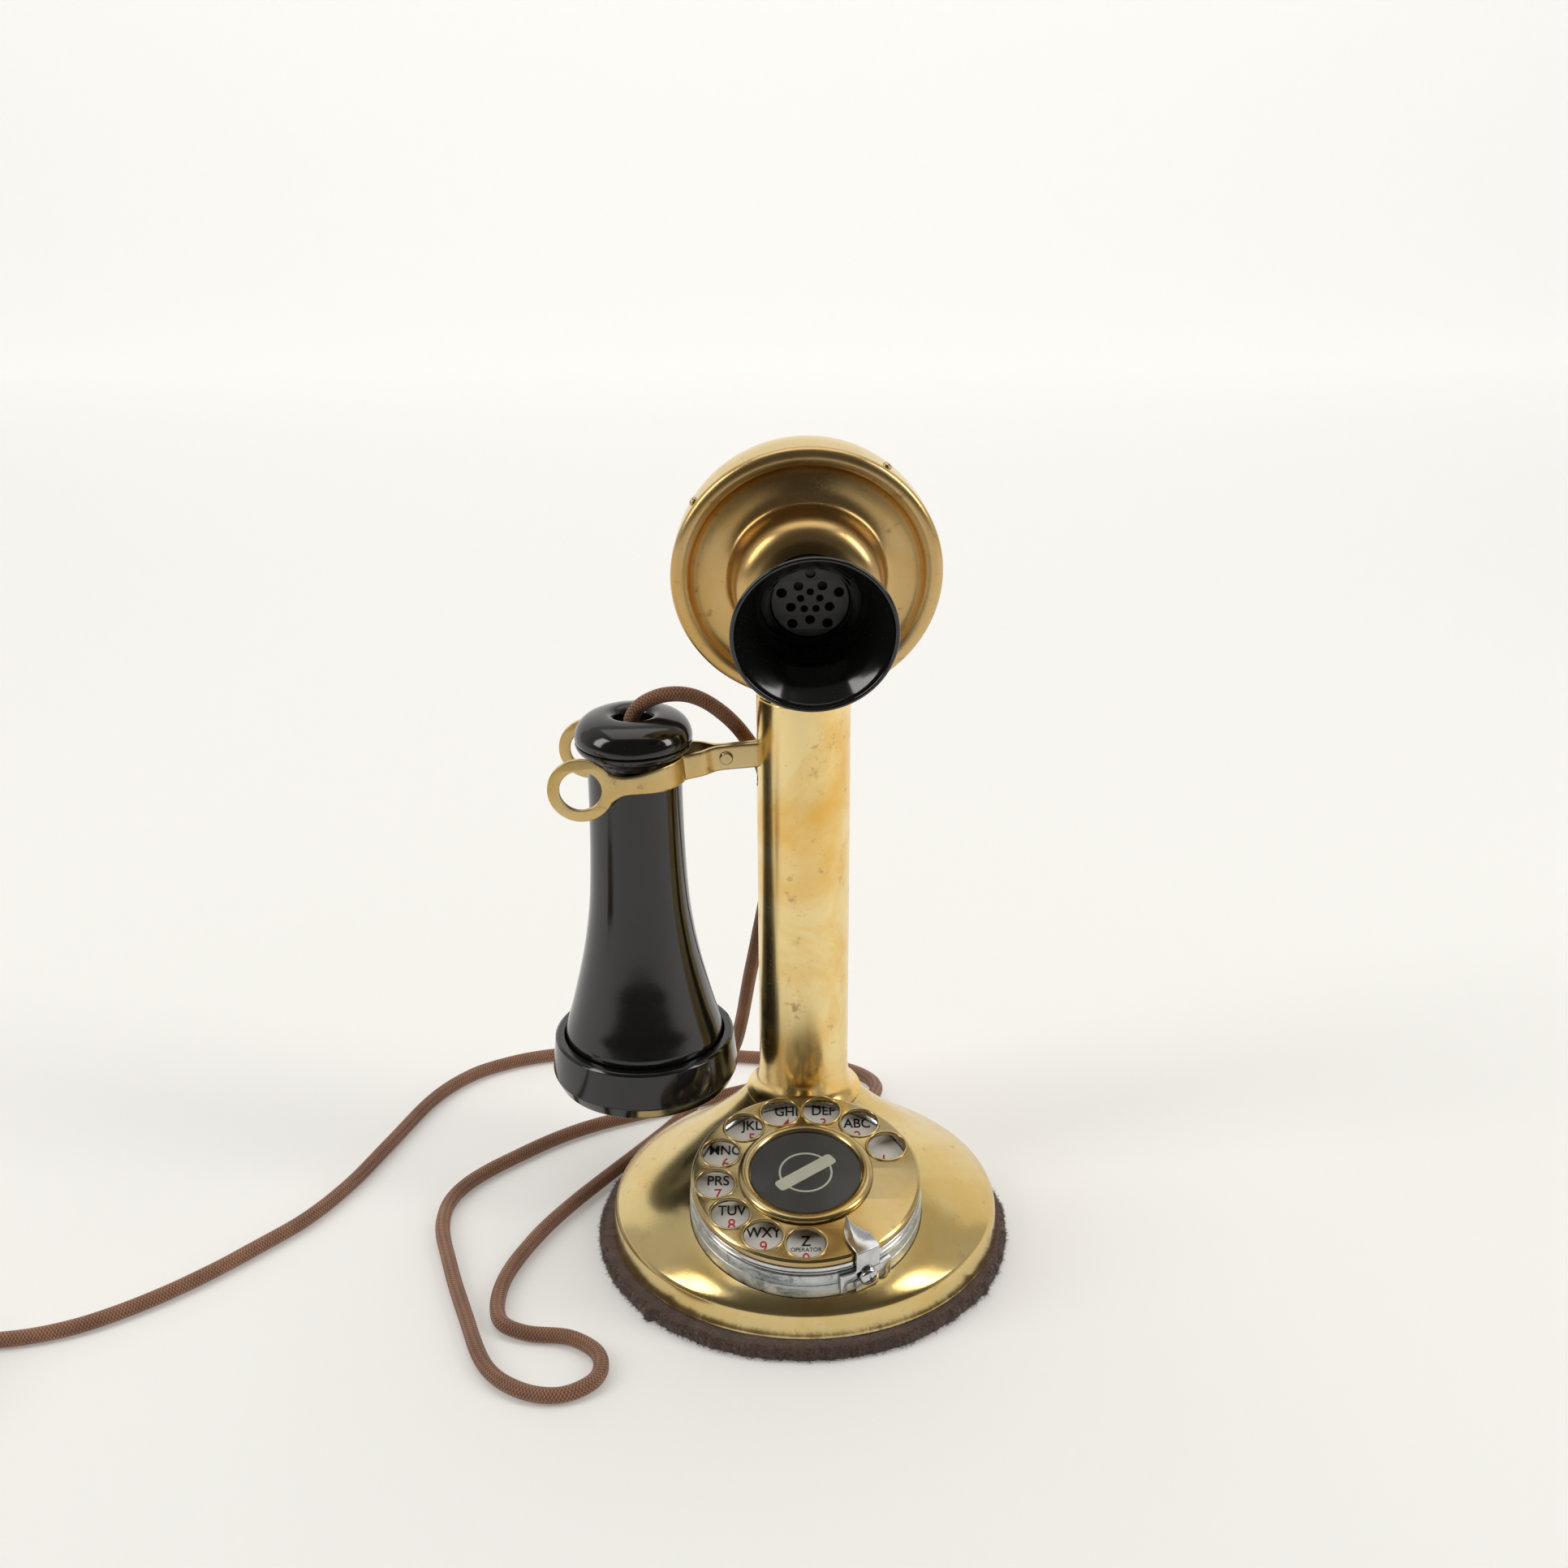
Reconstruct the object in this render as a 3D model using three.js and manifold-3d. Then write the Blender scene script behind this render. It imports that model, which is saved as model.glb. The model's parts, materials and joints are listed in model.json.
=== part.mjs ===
// A brass desk telephone of the upright kind: a domed base with a rotary dial, a tubular stem,
// a transmitter with a trumpet mouthpiece, and a receiver that hangs on a forked switch hook.
// Millimetres, +Z up. The front of the telephone faces -Y and the receiver hangs on the -X side.
// The origin is on the underside of the felt pad, below the centre of the brass base.

import * as THREE from 'three';
import Module from 'manifold-3d';
import { mergeVertices } from 'three/addons/utils/BufferGeometryUtils.js';

const wasm = await Module();
wasm.setup();

// ---------------------------------------------------------------- driving dimensions
const GAP = 0.3;                 // clearance between pieces that touch
const WALL = 1.6;                // thickness of the spun brass

const FELT = { radius: 71.1, thickness: 5, x: -0.8, y: -1.4 };
const BASE = { bottom: 5.3, radius: 67.6 };
const PLATE = { radius: 62.6, thickness: 1.6, screwCircle: 52 };

const STEM = { y: 31, radius: 15.8, bore: 14.4, foot: 38.6, top: 191 };
const SLOT = { y: 30, halfWidth: 3.0, bottom: 158 };

const DIAL = { y: -27.4, z: 41.0, tilt: 11.2 };
const WHEEL = { radius: 38.4, thickness: 1.4, skirt: 2.6, holeRadius: 6.5, holeCircle: 30.4 };
const HOLES = { count: 10, first: 24.8, step: 27.2 };
const CASE = { radius: 39.0, top: -6.3, bottom: -16.5 };
const RING = { inner: 18.8, outer: 22.4, height: 2.0 };
const STOP = { angle: -61, tip: 23.6 };
const GEAR = { teeth: 32, pitch: 18.2, pinionTeeth: 8, depth: 0.8, top: -19.0, thickness: 2.0 };

const HEAD = { yaw: 2.4, tilt: -7.3, forward: 22.1, z: 237.3, pivotZ: 195.5 };
const CUP = { radius: 42.0, depth: 34.0, straight: 4.0, power: 2.6 };
const FACE = { radius: 42.6, bossHeight: 14.8, hole: 14.2 };
const HORN = { neck: 12.2, grille: 17.0, rim: 24.7, length: 42.4 };

const RECEIVER = { x: -56.8, y: 30, bottom: 43.4, seam: 175.1, top: 184.6, neck: 15.9 };
const HOOK = {
  y: 30, pivotX: 3, pivotZ: 171.2, slope: 5.2, height: 7, strip: 1.6, ringRadius: 11, ringHole: 7,
};

const CORD = { radius: 2.6, sides: 8 };
const COIL = { x: -314, y: -92, middle: 29, columns: 2, layers: 4 };

// ---------------------------------------------------------------- helpers
const rad = THREE.MathUtils.degToRad;
const v2 = (x, y) => new THREE.Vector2(x, y);
const v3 = (x, y, z) => new THREE.Vector3(x, y, z);

/** Signed volume of an indexed triangle mesh. */
function signedVolume(geometry) {
  const position = geometry.getAttribute('position');
  const index = geometry.getIndex().array;
  const [a, b, c] = [v3(0, 0, 0), v3(0, 0, 0), v3(0, 0, 0)];
  let total = 0;
  for (let i = 0; i < index.length; i += 3) {
    a.fromBufferAttribute(position, index[i]);
    b.fromBufferAttribute(position, index[i + 1]);
    c.fromBufferAttribute(position, index[i + 2]);
    total += a.dot(b.cross(c)) / 6;
  }
  return total;
}

/** Merges shared vertices, drops empty triangles and turns the faces outward. */
function clean(source) {
  const bare = source.clone();
  for (const name of Object.keys(bare.attributes)) {
    if (name !== 'position') bare.deleteAttribute(name);
  }
  const merged = mergeVertices(bare, 1e-4);
  const index = merged.getIndex().array;
  const kept = [];
  for (let i = 0; i < index.length; i += 3) {
    const [a, b, c] = [index[i], index[i + 1], index[i + 2]];
    if (a !== b && b !== c && c !== a) kept.push(a, b, c);
  }
  merged.setIndex(kept);
  if (signedVolume(merged) < 0) {
    for (let i = 0; i < kept.length; i += 3) [kept[i], kept[i + 1]] = [kept[i + 1], kept[i]];
    merged.setIndex(kept);
  }
  return merged;
}

/** A closed geometry as a solid that can be joined and cut. */
function solid(geometry) {
  const ready = clean(geometry);
  return new wasm.Manifold(new wasm.Mesh({
    numProp: 3,
    vertProperties: new Float32Array(ready.getAttribute('position').array),
    triVerts: new Uint32Array(ready.getIndex().array),
  }));
}

/** A solid as a geometry. */
function toGeometry(manifold) {
  const mesh = manifold.getMesh();
  const geometry = new THREE.BufferGeometry();
  geometry.setAttribute('position', new THREE.BufferAttribute(new Float32Array(mesh.vertProperties), 3));
  geometry.setIndex([...mesh.triVerts]);
  return geometry;
}

const join = (...parts) => toGeometry(parts.map(solid).reduce((a, b) => a.add(b)));
const cut = (body, ...tools) => toGeometry(tools.map(solid).reduce((a, b) => a.subtract(b), solid(body)));

/** A solid of revolution about Z from [radius, z] pairs. A profile off the axis closes on itself. */
function turned(profile, segments = 32) {
  const points = profile.map(([r, z]) => v2(Math.max(r, 0), z));
  const onAxis = profile[0][0] === 0 && profile.at(-1)[0] === 0;
  if (!onAxis) points.push(points[0].clone());
  return clean(new THREE.LatheGeometry(points, segments).rotateX(Math.PI / 2));
}

/** A plain disc or, with a hole, a washer between two heights. */
function disc(radius, low, high, hole = 0, segments = 32) {
  return turned([[hole, low], [radius, low], [radius, high], [hole, high]], segments);
}

/** A cylinder along an axis letter, centred on the origin. */
function rod(radius, length, axis = 'z', segments = 16) {
  const geometry = new THREE.CylinderGeometry(radius, radius, length, segments);
  if (axis === 'z') geometry.rotateX(Math.PI / 2);
  if (axis === 'x') geometry.rotateZ(Math.PI / 2);
  return geometry;
}

/** A box from its lowest and highest corners. */
function block(low, high) {
  const size = high.map((value, i) => value - low[i]);
  const middle = high.map((value, i) => (value + low[i]) / 2);
  return new THREE.BoxGeometry(...size).translate(...middle);
}

/** A flat outline in X and Y, thickened between two heights. */
function plate(outline, low, high, curveSegments = 12) {
  const options = { depth: high - low, bevelEnabled: false, curveSegments };
  return new THREE.ExtrudeGeometry(outline, options).translate(0, 0, low);
}

/** The same outline standing in X and Z, thickened along Y. */
function standing(outline, low, high, curveSegments = 12) {
  return plate(outline, -high, -low, curveSegments).rotateX(Math.PI / 2);
}

/** Rounds stacked into a solid, each a circle with its own radius on the rear half: see DOME. */
function stacked(levels, segments = 40) {
  const vertices = [];
  const faces = [];
  for (const [radius, y, z, rear] of levels) {
    for (let i = 0; i < segments; i++) {
      const angle = (2 * Math.PI * i) / segments;
      const reach = Math.sin(angle) > 0 ? rear : radius;
      vertices.push(radius * Math.cos(angle), y + reach * Math.sin(angle), z);
    }
  }
  for (let k = 0; k + 1 < levels.length; k++) {
    for (let i = 0; i < segments; i++) {
      const [a, b] = [k * segments + i, k * segments + ((i + 1) % segments)];
      faces.push(a, b, b + segments, a, b + segments, a + segments);
    }
  }
  const last = (levels.length - 1) * segments;
  for (let i = 1; i + 1 < segments; i++) {
    faces.push(0, i + 1, i);
    faces.push(last, last + i, last + i + 1);
  }
  const geometry = new THREE.BufferGeometry();
  geometry.setAttribute('position', new THREE.Float32BufferAttribute(vertices, 3));
  geometry.setIndex(faces);
  return clean(geometry);
}

/** A round cord along a curve through hand-picked points. */
function cordTube(points, steps) {
  const curve = new THREE.CatmullRomCurve3(points.map((p) => v3(...p)), false, 'centripetal');
  const section = [];
  for (let i = 0; i < CORD.sides; i++) {
    const angle = (2 * Math.PI * i) / CORD.sides;
    section.push(v2(CORD.radius * Math.cos(angle), CORD.radius * Math.sin(angle)));
  }
  const options = { steps, extrudePath: curve, bevelEnabled: false };
  return clean(new THREE.ExtrudeGeometry(new THREE.Shape(section), options));
}

// ---------------------------------------------------------------- materials
const finish = (color, roughness, metalness) => () =>
  new THREE.MeshStandardMaterial({ color, roughness, metalness });
const brass = finish(0xc9a95b, 0.25, 1);
const chrome = finish(0xc8cacc, 0.2, 1);
const zinc = finish(0x9aa1a6, 0.4, 1);
const steel = finish(0x8a8c8e, 0.35, 1);
const bakelite = finish(0x121212, 0.15, 0);
const enamel = finish(0xf1efe9, 0.3, 0);
const felt = finish(0x4b3733, 1, 0);
const braid = finish(0x6b4234, 0.9, 0);
const card = finish(0x55585b, 0.6, 0);
const clear = finish(0xdde2e4, 0.05, 0);
const copper = finish(0xb4683a, 0.4, 1);
const rubber = finish(0x1d1a19, 0.8, 0);

const telephone = new THREE.Group();

/** Adds a named piece to a group. */
function add(group, name, geometry, material) {
  const mesh = new THREE.Mesh(geometry, material());
  mesh.name = name;
  group.add(mesh);
  return mesh;
}

// ---------------------------------------------------------------- base
/** The dome from the rim up to the stem's foot: half width, centre y, height, and reach to the rear. */
const DOME = [
  [67.6, 0, 5.3, 67.6], [66.8, 0, 13.3, 66.8], [65.1, 0, 15.6, 65.1], [61, 0, 18.8, 61.3],
  [54.6, 0, 22.4, 57.2], [46.6, 1, 26.2, 53.2], [38, 6.4, 29.8, 46.2], [29.4, 17, 33, 34.9],
  [23.4, 26, 36, 25.5], [20.2, 31, 38.3, 20.2],
];

/** The dial group's own frame: Z along the dial's axis, Y up its slope. */
function dialFrame(geometry) {
  return geometry.clone().rotateX(rad(DIAL.tilt)).translate(0, DIAL.y, DIAL.z);
}

/** A direction around the base, as an angle from the rear (+Y) towards +X. */
const CORD_HOLES = { receiver: 7, line: 21, z: 9.4, radius: 3.7 };
function atRear(geometry, angle) {
  return geometry.clone().translate(0, BASE.radius, CORD_HOLES.z).rotateZ(-rad(angle));
}

const screwSpots = [0, 1, 2].map((i) => {
  const angle = rad(30 + 120 * i);
  return [PLATE.screwCircle * Math.cos(angle), PLATE.screwCircle * Math.sin(angle)];
});

function baseShell() {
  const outer = stacked(DOME);
  const inside = DOME.map(([r, y, z, rear]) => [r - WALL, y, z - WALL, rear - WALL]);
  inside[0][2] = BASE.bottom - 1;
  const seat = dialFrame(disc(44, CASE.bottom - 2.5, CASE.bottom + 1, 0, 36));
  const bosses = screwSpots.map(([x, y]) => disc(4.5, 7.6, 30, 0, 12).translate(x, y, 0));
  const hollow = cut(stacked(inside), seat, ...bosses);
  const pocket = dialFrame(disc(CASE.radius + GAP, CASE.bottom - GAP, 20, 0, 36));
  const mechanismHole = dialFrame(disc(33, -30, 5, 0, 28));
  const stemHole = disc(12, 30, 45, 0, 24).translate(0, STEM.y, 0);
  const cordHoles = [CORD_HOLES.receiver, CORD_HOLES.line].map((angle) =>
    atRear(rod(CORD_HOLES.radius, 12, 'y'), angle));
  const screwHoles = screwSpots.map(([x, y]) => disc(2.3, 5, 14.5, 0, 12).translate(x, y, 0));
  return cut(outer, hollow, pocket, mechanismHole, stemHole, ...cordHoles, ...screwHoles);
}

function bottomPlate() {
  const sheet = disc(PLATE.radius, BASE.bottom, BASE.bottom + PLATE.thickness, 0, 40);
  const holes = screwSpots.map(([x, y]) =>
    turned([[0, 5], [4.1, 5], [4.1, 6.4], [2.4, 7.9], [0, 7.9]], 12).translate(x, y, 0));
  return cut(sheet, ...holes);
}

function buildBase(group) {
  const pad = disc(FELT.radius, 0, FELT.thickness, 0, 48).translate(FELT.x, FELT.y, 0);
  add(group, 'felt_pad', pad, felt);
  add(group, 'bottom_plate', bottomPlate(), steel);
  screwSpots.forEach(([x, y], i) => {
    const profile = [[0, 5.3], [3.7, 5.3], [3.7, 6.2], [2, 7.6], [2, 14], [0, 14]];
    add(group, `plate_screw_${i + 1}`, turned(profile, 12).translate(x, y, 0), steel);
  });
  add(group, 'base_shell', baseShell(), brass);
  const grommet = turned([
    [2.9, -4], [3.4, -4], [3.4, GAP], [4.1, GAP], [4.1, 2], [3.4, 2.6], [2.9, 2.6],
  ], 16);
  grommet.rotateX(-Math.PI / 2);
  add(group, 'receiver_cord_bushing', atRear(grommet, CORD_HOLES.receiver), rubber);
  add(group, 'line_cord_bushing', atRear(grommet, CORD_HOLES.line), rubber);
  add(group, 'terminal_block', block([-14, 38, 9], [10, 50, 17]), bakelite);
}

// ---------------------------------------------------------------- stem
function stemTube() {
  const { radius, bore, foot, top } = STEM;
  const profile = [
    [20.3, foot], [20.3, foot + 0.9], [18.4, foot + 2], [17, foot + 4], [16.2, foot + 7],
    [radius, foot + 11], [radius, top], [bore, top], [bore, foot + 10], [16.6, foot + 1.6], [16.6, foot],
  ];
  const tube = turned(profile, 32).translate(0, STEM.y, 0);
  const slot = block([-20, SLOT.y - SLOT.halfWidth, SLOT.bottom], [-10, SLOT.y + SLOT.halfWidth, top + 1]);
  const dialClearance = dialFrame(disc(CASE.radius + 2 * GAP, -25, 20, 0, 48));
  return cut(tube, slot, dialClearance);
}

/** The cap that closes the stem, with two ears for the transmitter's hinge. */
function stemCap() {
  const { radius, bore, top } = STEM;
  const plug = turned([
    [0, top - 4], [bore - GAP, top - 4], [bore - GAP, top + GAP], [radius, top + GAP],
    [radius, top + 0.8], [radius - 0.8, top + 1.2], [0, top + 1.2],
  ], 32);
  const ear = join(block([4, -3.2, top + 1], [6.4, 3.2, HEAD.pivotZ]),
    rod(3.2, 2.4, 'x', 20).translate(5.2, 0, HEAD.pivotZ));
  const other = ear.clone().rotateZ(Math.PI);
  const hole = rod(1.8, 20, 'x', 16).translate(0, 0, HEAD.pivotZ);
  return cut(join(plug, ear, other), hole);
}

/** The pile of leaf springs that the switch hook works, inside the stem. */
function buildContacts(group) {
  const y = SLOT.y;
  add(group, 'contact_block', block([-2, y - 6, 96], [9, y + 6, 114]), bakelite);
  for (let i = 0; i < 2; i++) {
    const x = 1.6 + 3.4 * i;
    const spring = block([x, y - 3.5, 114 + GAP], [x + 0.6, y + 3.5, 150 + 3 * i]);
    add(group, `contact_spring_${i + 1}`, spring, copper);
  }
}

function buildStem(group) {
  add(group, 'stem_tube', stemTube(), brass);
  const { pivotX, pivotZ, y } = HOOK;
  const front = block([-4, y - 9, 160], [9, y - 7.4, pivotZ + 5]);
  const rear = block([-4, y + 7.4, 160], [9, y + 9, pivotZ + 5]);
  const cheeks = join(front, rear, block([-4, y - 9, 158.4], [9, y + 9, 160.1]));
  const hole = rod(1.8, 30, 'y').translate(pivotX, y, pivotZ);
  add(group, 'hook_bracket', cut(cheeks, hole), steel);
  add(group, 'hook_pivot_pin', rod(1.4, 19, 'y').translate(pivotX, y, pivotZ), steel);
  buildContacts(group);
}

// ---------------------------------------------------------------- dial
function fingerWheel() {
  const { radius, thickness, skirt } = WHEEL;
  const dish = turned([
    [3.4, -thickness], [radius - 1.5, -thickness], [radius - 1.3, -skirt], [radius, -skirt],
    [radius, -0.8], [radius - 0.8, 0], [3.4, 0],
  ], 48);
  const holes = [];
  for (let i = 0; i < HOLES.count; i++) {
    const angle = rad(HOLES.first + HOLES.step * i);
    const place = [WHEEL.holeCircle * Math.cos(angle), WHEEL.holeCircle * Math.sin(angle), 0];
    holes.push(rod(WHEEL.holeRadius, 4, 'z', 16).translate(...place));
  }
  return cut(dish, ...holes);
}

/** A spur gear with straight-sided teeth, its first tooth on the +X axis or half a tooth away. */
function gear(teeth, pitch, low, high, bore, shifted = false) {
  const step = (2 * Math.PI) / teeth;
  const corners = [[-0.36, -1], [-0.15, 1], [0.15, 1], [0.36, -1]];
  const outline = [];
  for (let i = 0; i < teeth; i++) {
    for (const [across, out] of corners) {
      const angle = step * (i + across * 0.62 + (shifted ? 0.5 : 0));
      const r = pitch + out * GEAR.depth - (out < 0 ? GAP : 0);
      outline.push(v2(r * Math.cos(angle), r * Math.sin(angle)));
    }
  }
  const shape = new THREE.Shape(outline);
  shape.holes.push(new THREE.Path().absarc(0, 0, bore, 0, 2 * Math.PI, true));
  return clean(plate(shape, low, high, 8));
}

/** The stop: a pointed finger over the wheel, bent down beside the case, with a cross bar. */
function fingerStop() {
  const out = CASE.radius + 0.5;
  const finger = new THREE.Shape();
  finger.moveTo(STOP.tip, 1.4);
  finger.quadraticCurveTo(31, 1.6, 34, 4.4);
  finger.lineTo(out + 1, 4.4);
  finger.lineTo(out + 1, -3.8);
  finger.lineTo(35, -3.8);
  finger.quadraticCurveTo(29, -3.2, STOP.tip, 1.4);
  const arm = plate(finger, 1.0, 2.0, 6);
  const stem = block([out, -4.2, -15.4], [out + 1, 4.4, 2]);
  const bar = cut(disc(out + 1, -11, -7.6, out, 64), block([-60, -60, -20], [out * 0.972, 60, 5]));
  const lugs = [-1, 1].map((side) =>
    block([out - 2, side * 8.6 - 0.9, -14.6], [out + 0.4, side * 8.6 + 0.9, -7.6]));
  const clear = disc(CASE.radius + GAP, -20, 0.9, 0, 64);
  const screwHole = rod(2, 10, 'x', 12).translate(out, 0, -9.3);
  return cut(join(arm, stem, bar, ...lugs), clear, screwHole);
}

function buildDial() {
  const group = new THREE.Group();
  group.position.set(0, DIAL.y, DIAL.z);
  group.rotation.x = rad(DIAL.tilt);
  const { radius, top, bottom } = CASE;
  const shell = turned([
    [6, bottom], [radius, bottom], [radius - 0.3, top], [radius - 1.9, top],
    [radius - 1.9, bottom + WALL], [6, bottom + WALL],
  ], 40);
  const screwHole = rod(2, 8, 'x', 12).translate(radius, 0, -9.3).rotateZ(rad(STOP.angle));
  add(group, 'dial_case', cut(shell, screwHole), zinc);
  add(group, 'dial_bezel', turned([
    [35.4, top + GAP], [radius - 0.4, top + GAP], [radius - 0.3, -5],
    [radius - 0.5, -3], [36.2, -3], [35.4, -4],
  ], 40), chrome);
  add(group, 'number_plate', disc(35, -5.4, -4.4, 5, 36), enamel);
  add(group, 'finger_wheel', fingerWheel(), brass);
  add(group, 'centre_ring', turned([
    [RING.inner, GAP], [RING.outer, GAP], [RING.outer, 1.3], [RING.outer - 0.8, RING.height],
    [RING.inner + 1, RING.height], [RING.inner, 1.5],
  ], 36), brass);
  add(group, 'number_card', disc(RING.inner - GAP, GAP, 0.7, 0, 28), card);
  add(group, 'card_window', disc(RING.inner - GAP, 1, 1.5, 0, 28), clear);
  add(group, 'dial_shaft', rod(3, 24.7, 'z').translate(0, 0, -12.65), steel);
  const gearLow = GEAR.top - GEAR.thickness;
  add(group, 'main_gear', gear(GEAR.teeth, GEAR.pitch, gearLow, GEAR.top, 3.3), brass);
  const away = GEAR.pitch + GEAR.pitch * GEAR.pinionTeeth / GEAR.teeth;
  const pinion = gear(GEAR.pinionTeeth, away - GEAR.pitch, gearLow, GEAR.top, 1.5, true);
  add(group, 'governor_pinion', pinion.translate(-away, 0, 0), brass);
  const governor = turned([
    [0, -30], [6.6, -30], [6.6, -24], [5.6, -24], [5.6, -28.8], [1.2, -28.8], [1.2, -18], [0, -18],
  ], 24);
  add(group, 'governor_spindle', governor.translate(-away, 0, 0), steel);
  const bearing = cut(disc(30, -18.4, -17, 3.4, 28), rod(1.6, 10, 'z', 12).translate(-away, 0, -18));
  add(group, 'gear_plate', bearing, brass);
  add(group, 'pulse_contacts', block([14, -5, -29], [26, 5, -22.5]), bakelite);
  const side = new THREE.Group();
  side.rotation.z = rad(STOP.angle);
  add(side, 'finger_stop', fingerStop(), chrome);
  const screw = turned([[0, -3.4], [1.6, -3.4], [1.6, GAP], [3.3, GAP], [3.1, 1.5], [2, 2.4], [0, 2.7]], 20);
  add(side, 'finger_stop_screw', screw.rotateY(Math.PI / 2).translate(CASE.radius + 1.5, 0, -9.3), chrome);
  group.add(side);
  return group;
}

// ---------------------------------------------------------------- transmitter
/** Radius of the cup's round back at a depth behind its front edge. */
function cupRadius(depth) {
  const part = Math.max(depth - CUP.straight, 0) / (CUP.depth - CUP.straight);
  return CUP.radius * (1 - part ** CUP.power) ** (1 / CUP.power);
}

/** The cup's outline, offset inward by the given amount. */
function cupOutline(offset, steps = 8) {
  const points = [[CUP.radius - offset, -1.4]];
  for (let i = 0; i <= steps; i++) {
    const share = Math.sin((Math.PI / 2) * (i / steps));
    const depth = CUP.straight + (CUP.depth - CUP.straight) * share;
    points.push([Math.max(cupRadius(depth) - offset, 0), -(depth - offset)]);
  }
  points.at(-1)[0] = 0;
  return points;
}

function transmitterCup() {
  const outer = turned([[0, -1.4], ...cupOutline(0)], 32);
  const inner = turned([[0, 2], [CUP.radius - 1.3, 2], ...cupOutline(1.3, 6)], 32);
  return cut(outer, inner);
}

function facePlate() {
  const front = [
    [FACE.hole, FACE.bossHeight], [18, 14.2], [21.4, 12.2], [23.3, 8.6], [24, 3.6], [25.6, 0], [30, -1.1],
    [35.4, -0.8], [37.4, 1], [39.8, 2], [41.8, 1.3], [42.6, 0],
  ];
  const back = [
    [42.6, -1.1], [36.6, -1.1], [35.4, -2.2], [25.6, -2.1], [22.6, 1], [21.8, 8], [19, 12],
    [FACE.hole, 13.2],
  ];
  return turned([...front, ...back], 40);
}

function mouthpiece() {
  const { neck, rim, length } = HORN;
  const outside = [[13.9, 6], [13.9, 17], [15, 23.5], [17.6, 30], [21.4, 37], [rim, length - 0.5]];
  const inside = [
    [24.2, length + 0.5], [22.6, 40.6], [19.4, 36.2], [15.8, 30], [13.4, 23.5], [neck, 18.4],
    [neck, 6],
  ];
  return turned([...outside, ...inside], 32);
}

/** The perforated disc at the bottom of the mouthpiece: three rings of five holes. */
function grille() {
  const rings = [[3.1, 1.1, 90], [6.2, 1.45, 54], [9.2, 1.5, 90]];
  const holes = [];
  for (const [circle, radius, start] of rings) {
    for (let i = 0; i < 5; i++) {
      const angle = rad(start + 72 * i);
      const place = [circle * Math.cos(angle), circle * Math.sin(angle), HORN.grille];
      holes.push(rod(radius, 6, 'z', 8).translate(...place));
    }
  }
  return cut(disc(HORN.neck - GAP, HORN.grille - 0.8, HORN.grille + 0.8, 0, 24), ...holes);
}

/** The hinge tongue under the cup, shaped to the cup's wall. */
function transmitterLug(headToCup) {
  const tongue = join(rod(2.9, 7.2, 'x', 20).translate(0, 0, HEAD.pivotZ),
    block([-3.6, -2.9, HEAD.pivotZ], [3.6, 6, HEAD.pivotZ + 9]));
  const grown = turned([[0, 0], [CUP.radius + GAP, 0], ...cupOutline(-GAP).slice(1)], 32);
  const hole = rod(1.8, 20, 'x', 16).translate(0, 0, HEAD.pivotZ);
  return cut(tongue, grown.applyMatrix4(headToCup), hole);
}

function buildHead() {
  const head = new THREE.Group();
  head.position.set(0, STEM.y, 0);
  head.rotation.z = rad(HEAD.yaw);
  add(head, 'stem_cap', stemCap(), brass);
  const pin = turned([
    [0, -8], [2.9, -8], [2.9, -6.7], [1.5, -6.7], [1.5, 6.7], [2.9, 6.7], [2.9, 8], [0, 8],
  ], 20);
  add(head, 'tilt_screw', pin.rotateY(Math.PI / 2).translate(0, 0, HEAD.pivotZ), steel);

  const cup = new THREE.Group();
  cup.position.set(0, -HEAD.forward, HEAD.z);
  cup.rotation.x = Math.PI / 2 - rad(HEAD.tilt);
  cup.updateMatrix();
  add(head, 'transmitter_lug', transmitterLug(cup.matrix), brass);
  add(cup, 'transmitter_cup', transmitterCup(), brass);
  add(cup, 'transmitter_face', facePlate(), brass);
  add(cup, 'mouthpiece', mouthpiece(), bakelite);
  add(cup, 'mouthpiece_grille', grille(), bakelite);
  add(cup, 'transmitter_diaphragm', disc(31, -4.4, -3.8, 0, 36), steel);
  const button = turned([[0, -14], [11, -14], [11, -8], [4, -8], [4, -4.7], [0, -4.7]], 24);
  add(cup, 'carbon_button', button, brass);
  for (let i = 0; i < 4; i++) {
    const screw = turned([[0, 0], [1.5, 0], [1.5, 0.7], [0.9, 1.3], [0, 1.5]], 10).rotateY(Math.PI / 2);
    screw.translate(CUP.radius + GAP, 0, -3.4).rotateZ(rad(55 + 90 * i));
    add(cup, `rim_screw_${i + 1}`, screw, brass);
  }
  head.add(cup);
  return head;
}

// ---------------------------------------------------------------- switch hook
/** One strip of the fork in plan, in the hook's frame: -X points along the lever, -Y to its own side. */
function stripOutline() {
  const centre = v2(RECEIVER.x - HOOK.pivotX, 0);
  const [inner, outer] = [17.4, 17.4 + HOOK.strip];
  const [near, far] = [-rad(31), -rad(98)];
  const shape = new THREE.Shape();
  shape.moveTo(5, -0.15);
  shape.lineTo(-30, -0.15);
  shape.lineTo(-35.6, -3.4);
  shape.absarc(centre.x, centre.y, inner, near, far, true);
  shape.lineTo(centre.x - 8, -17.7);
  shape.lineTo(centre.x - 8, -17.7 - HOOK.strip);
  shape.absarc(centre.x, centre.y, outer, far, near, false);
  shape.lineTo(-36.4, -5.2);
  shape.lineTo(-31, -0.15 - HOOK.strip);
  shape.lineTo(5, -0.15 - HOOK.strip);
  return shape;
}

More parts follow.
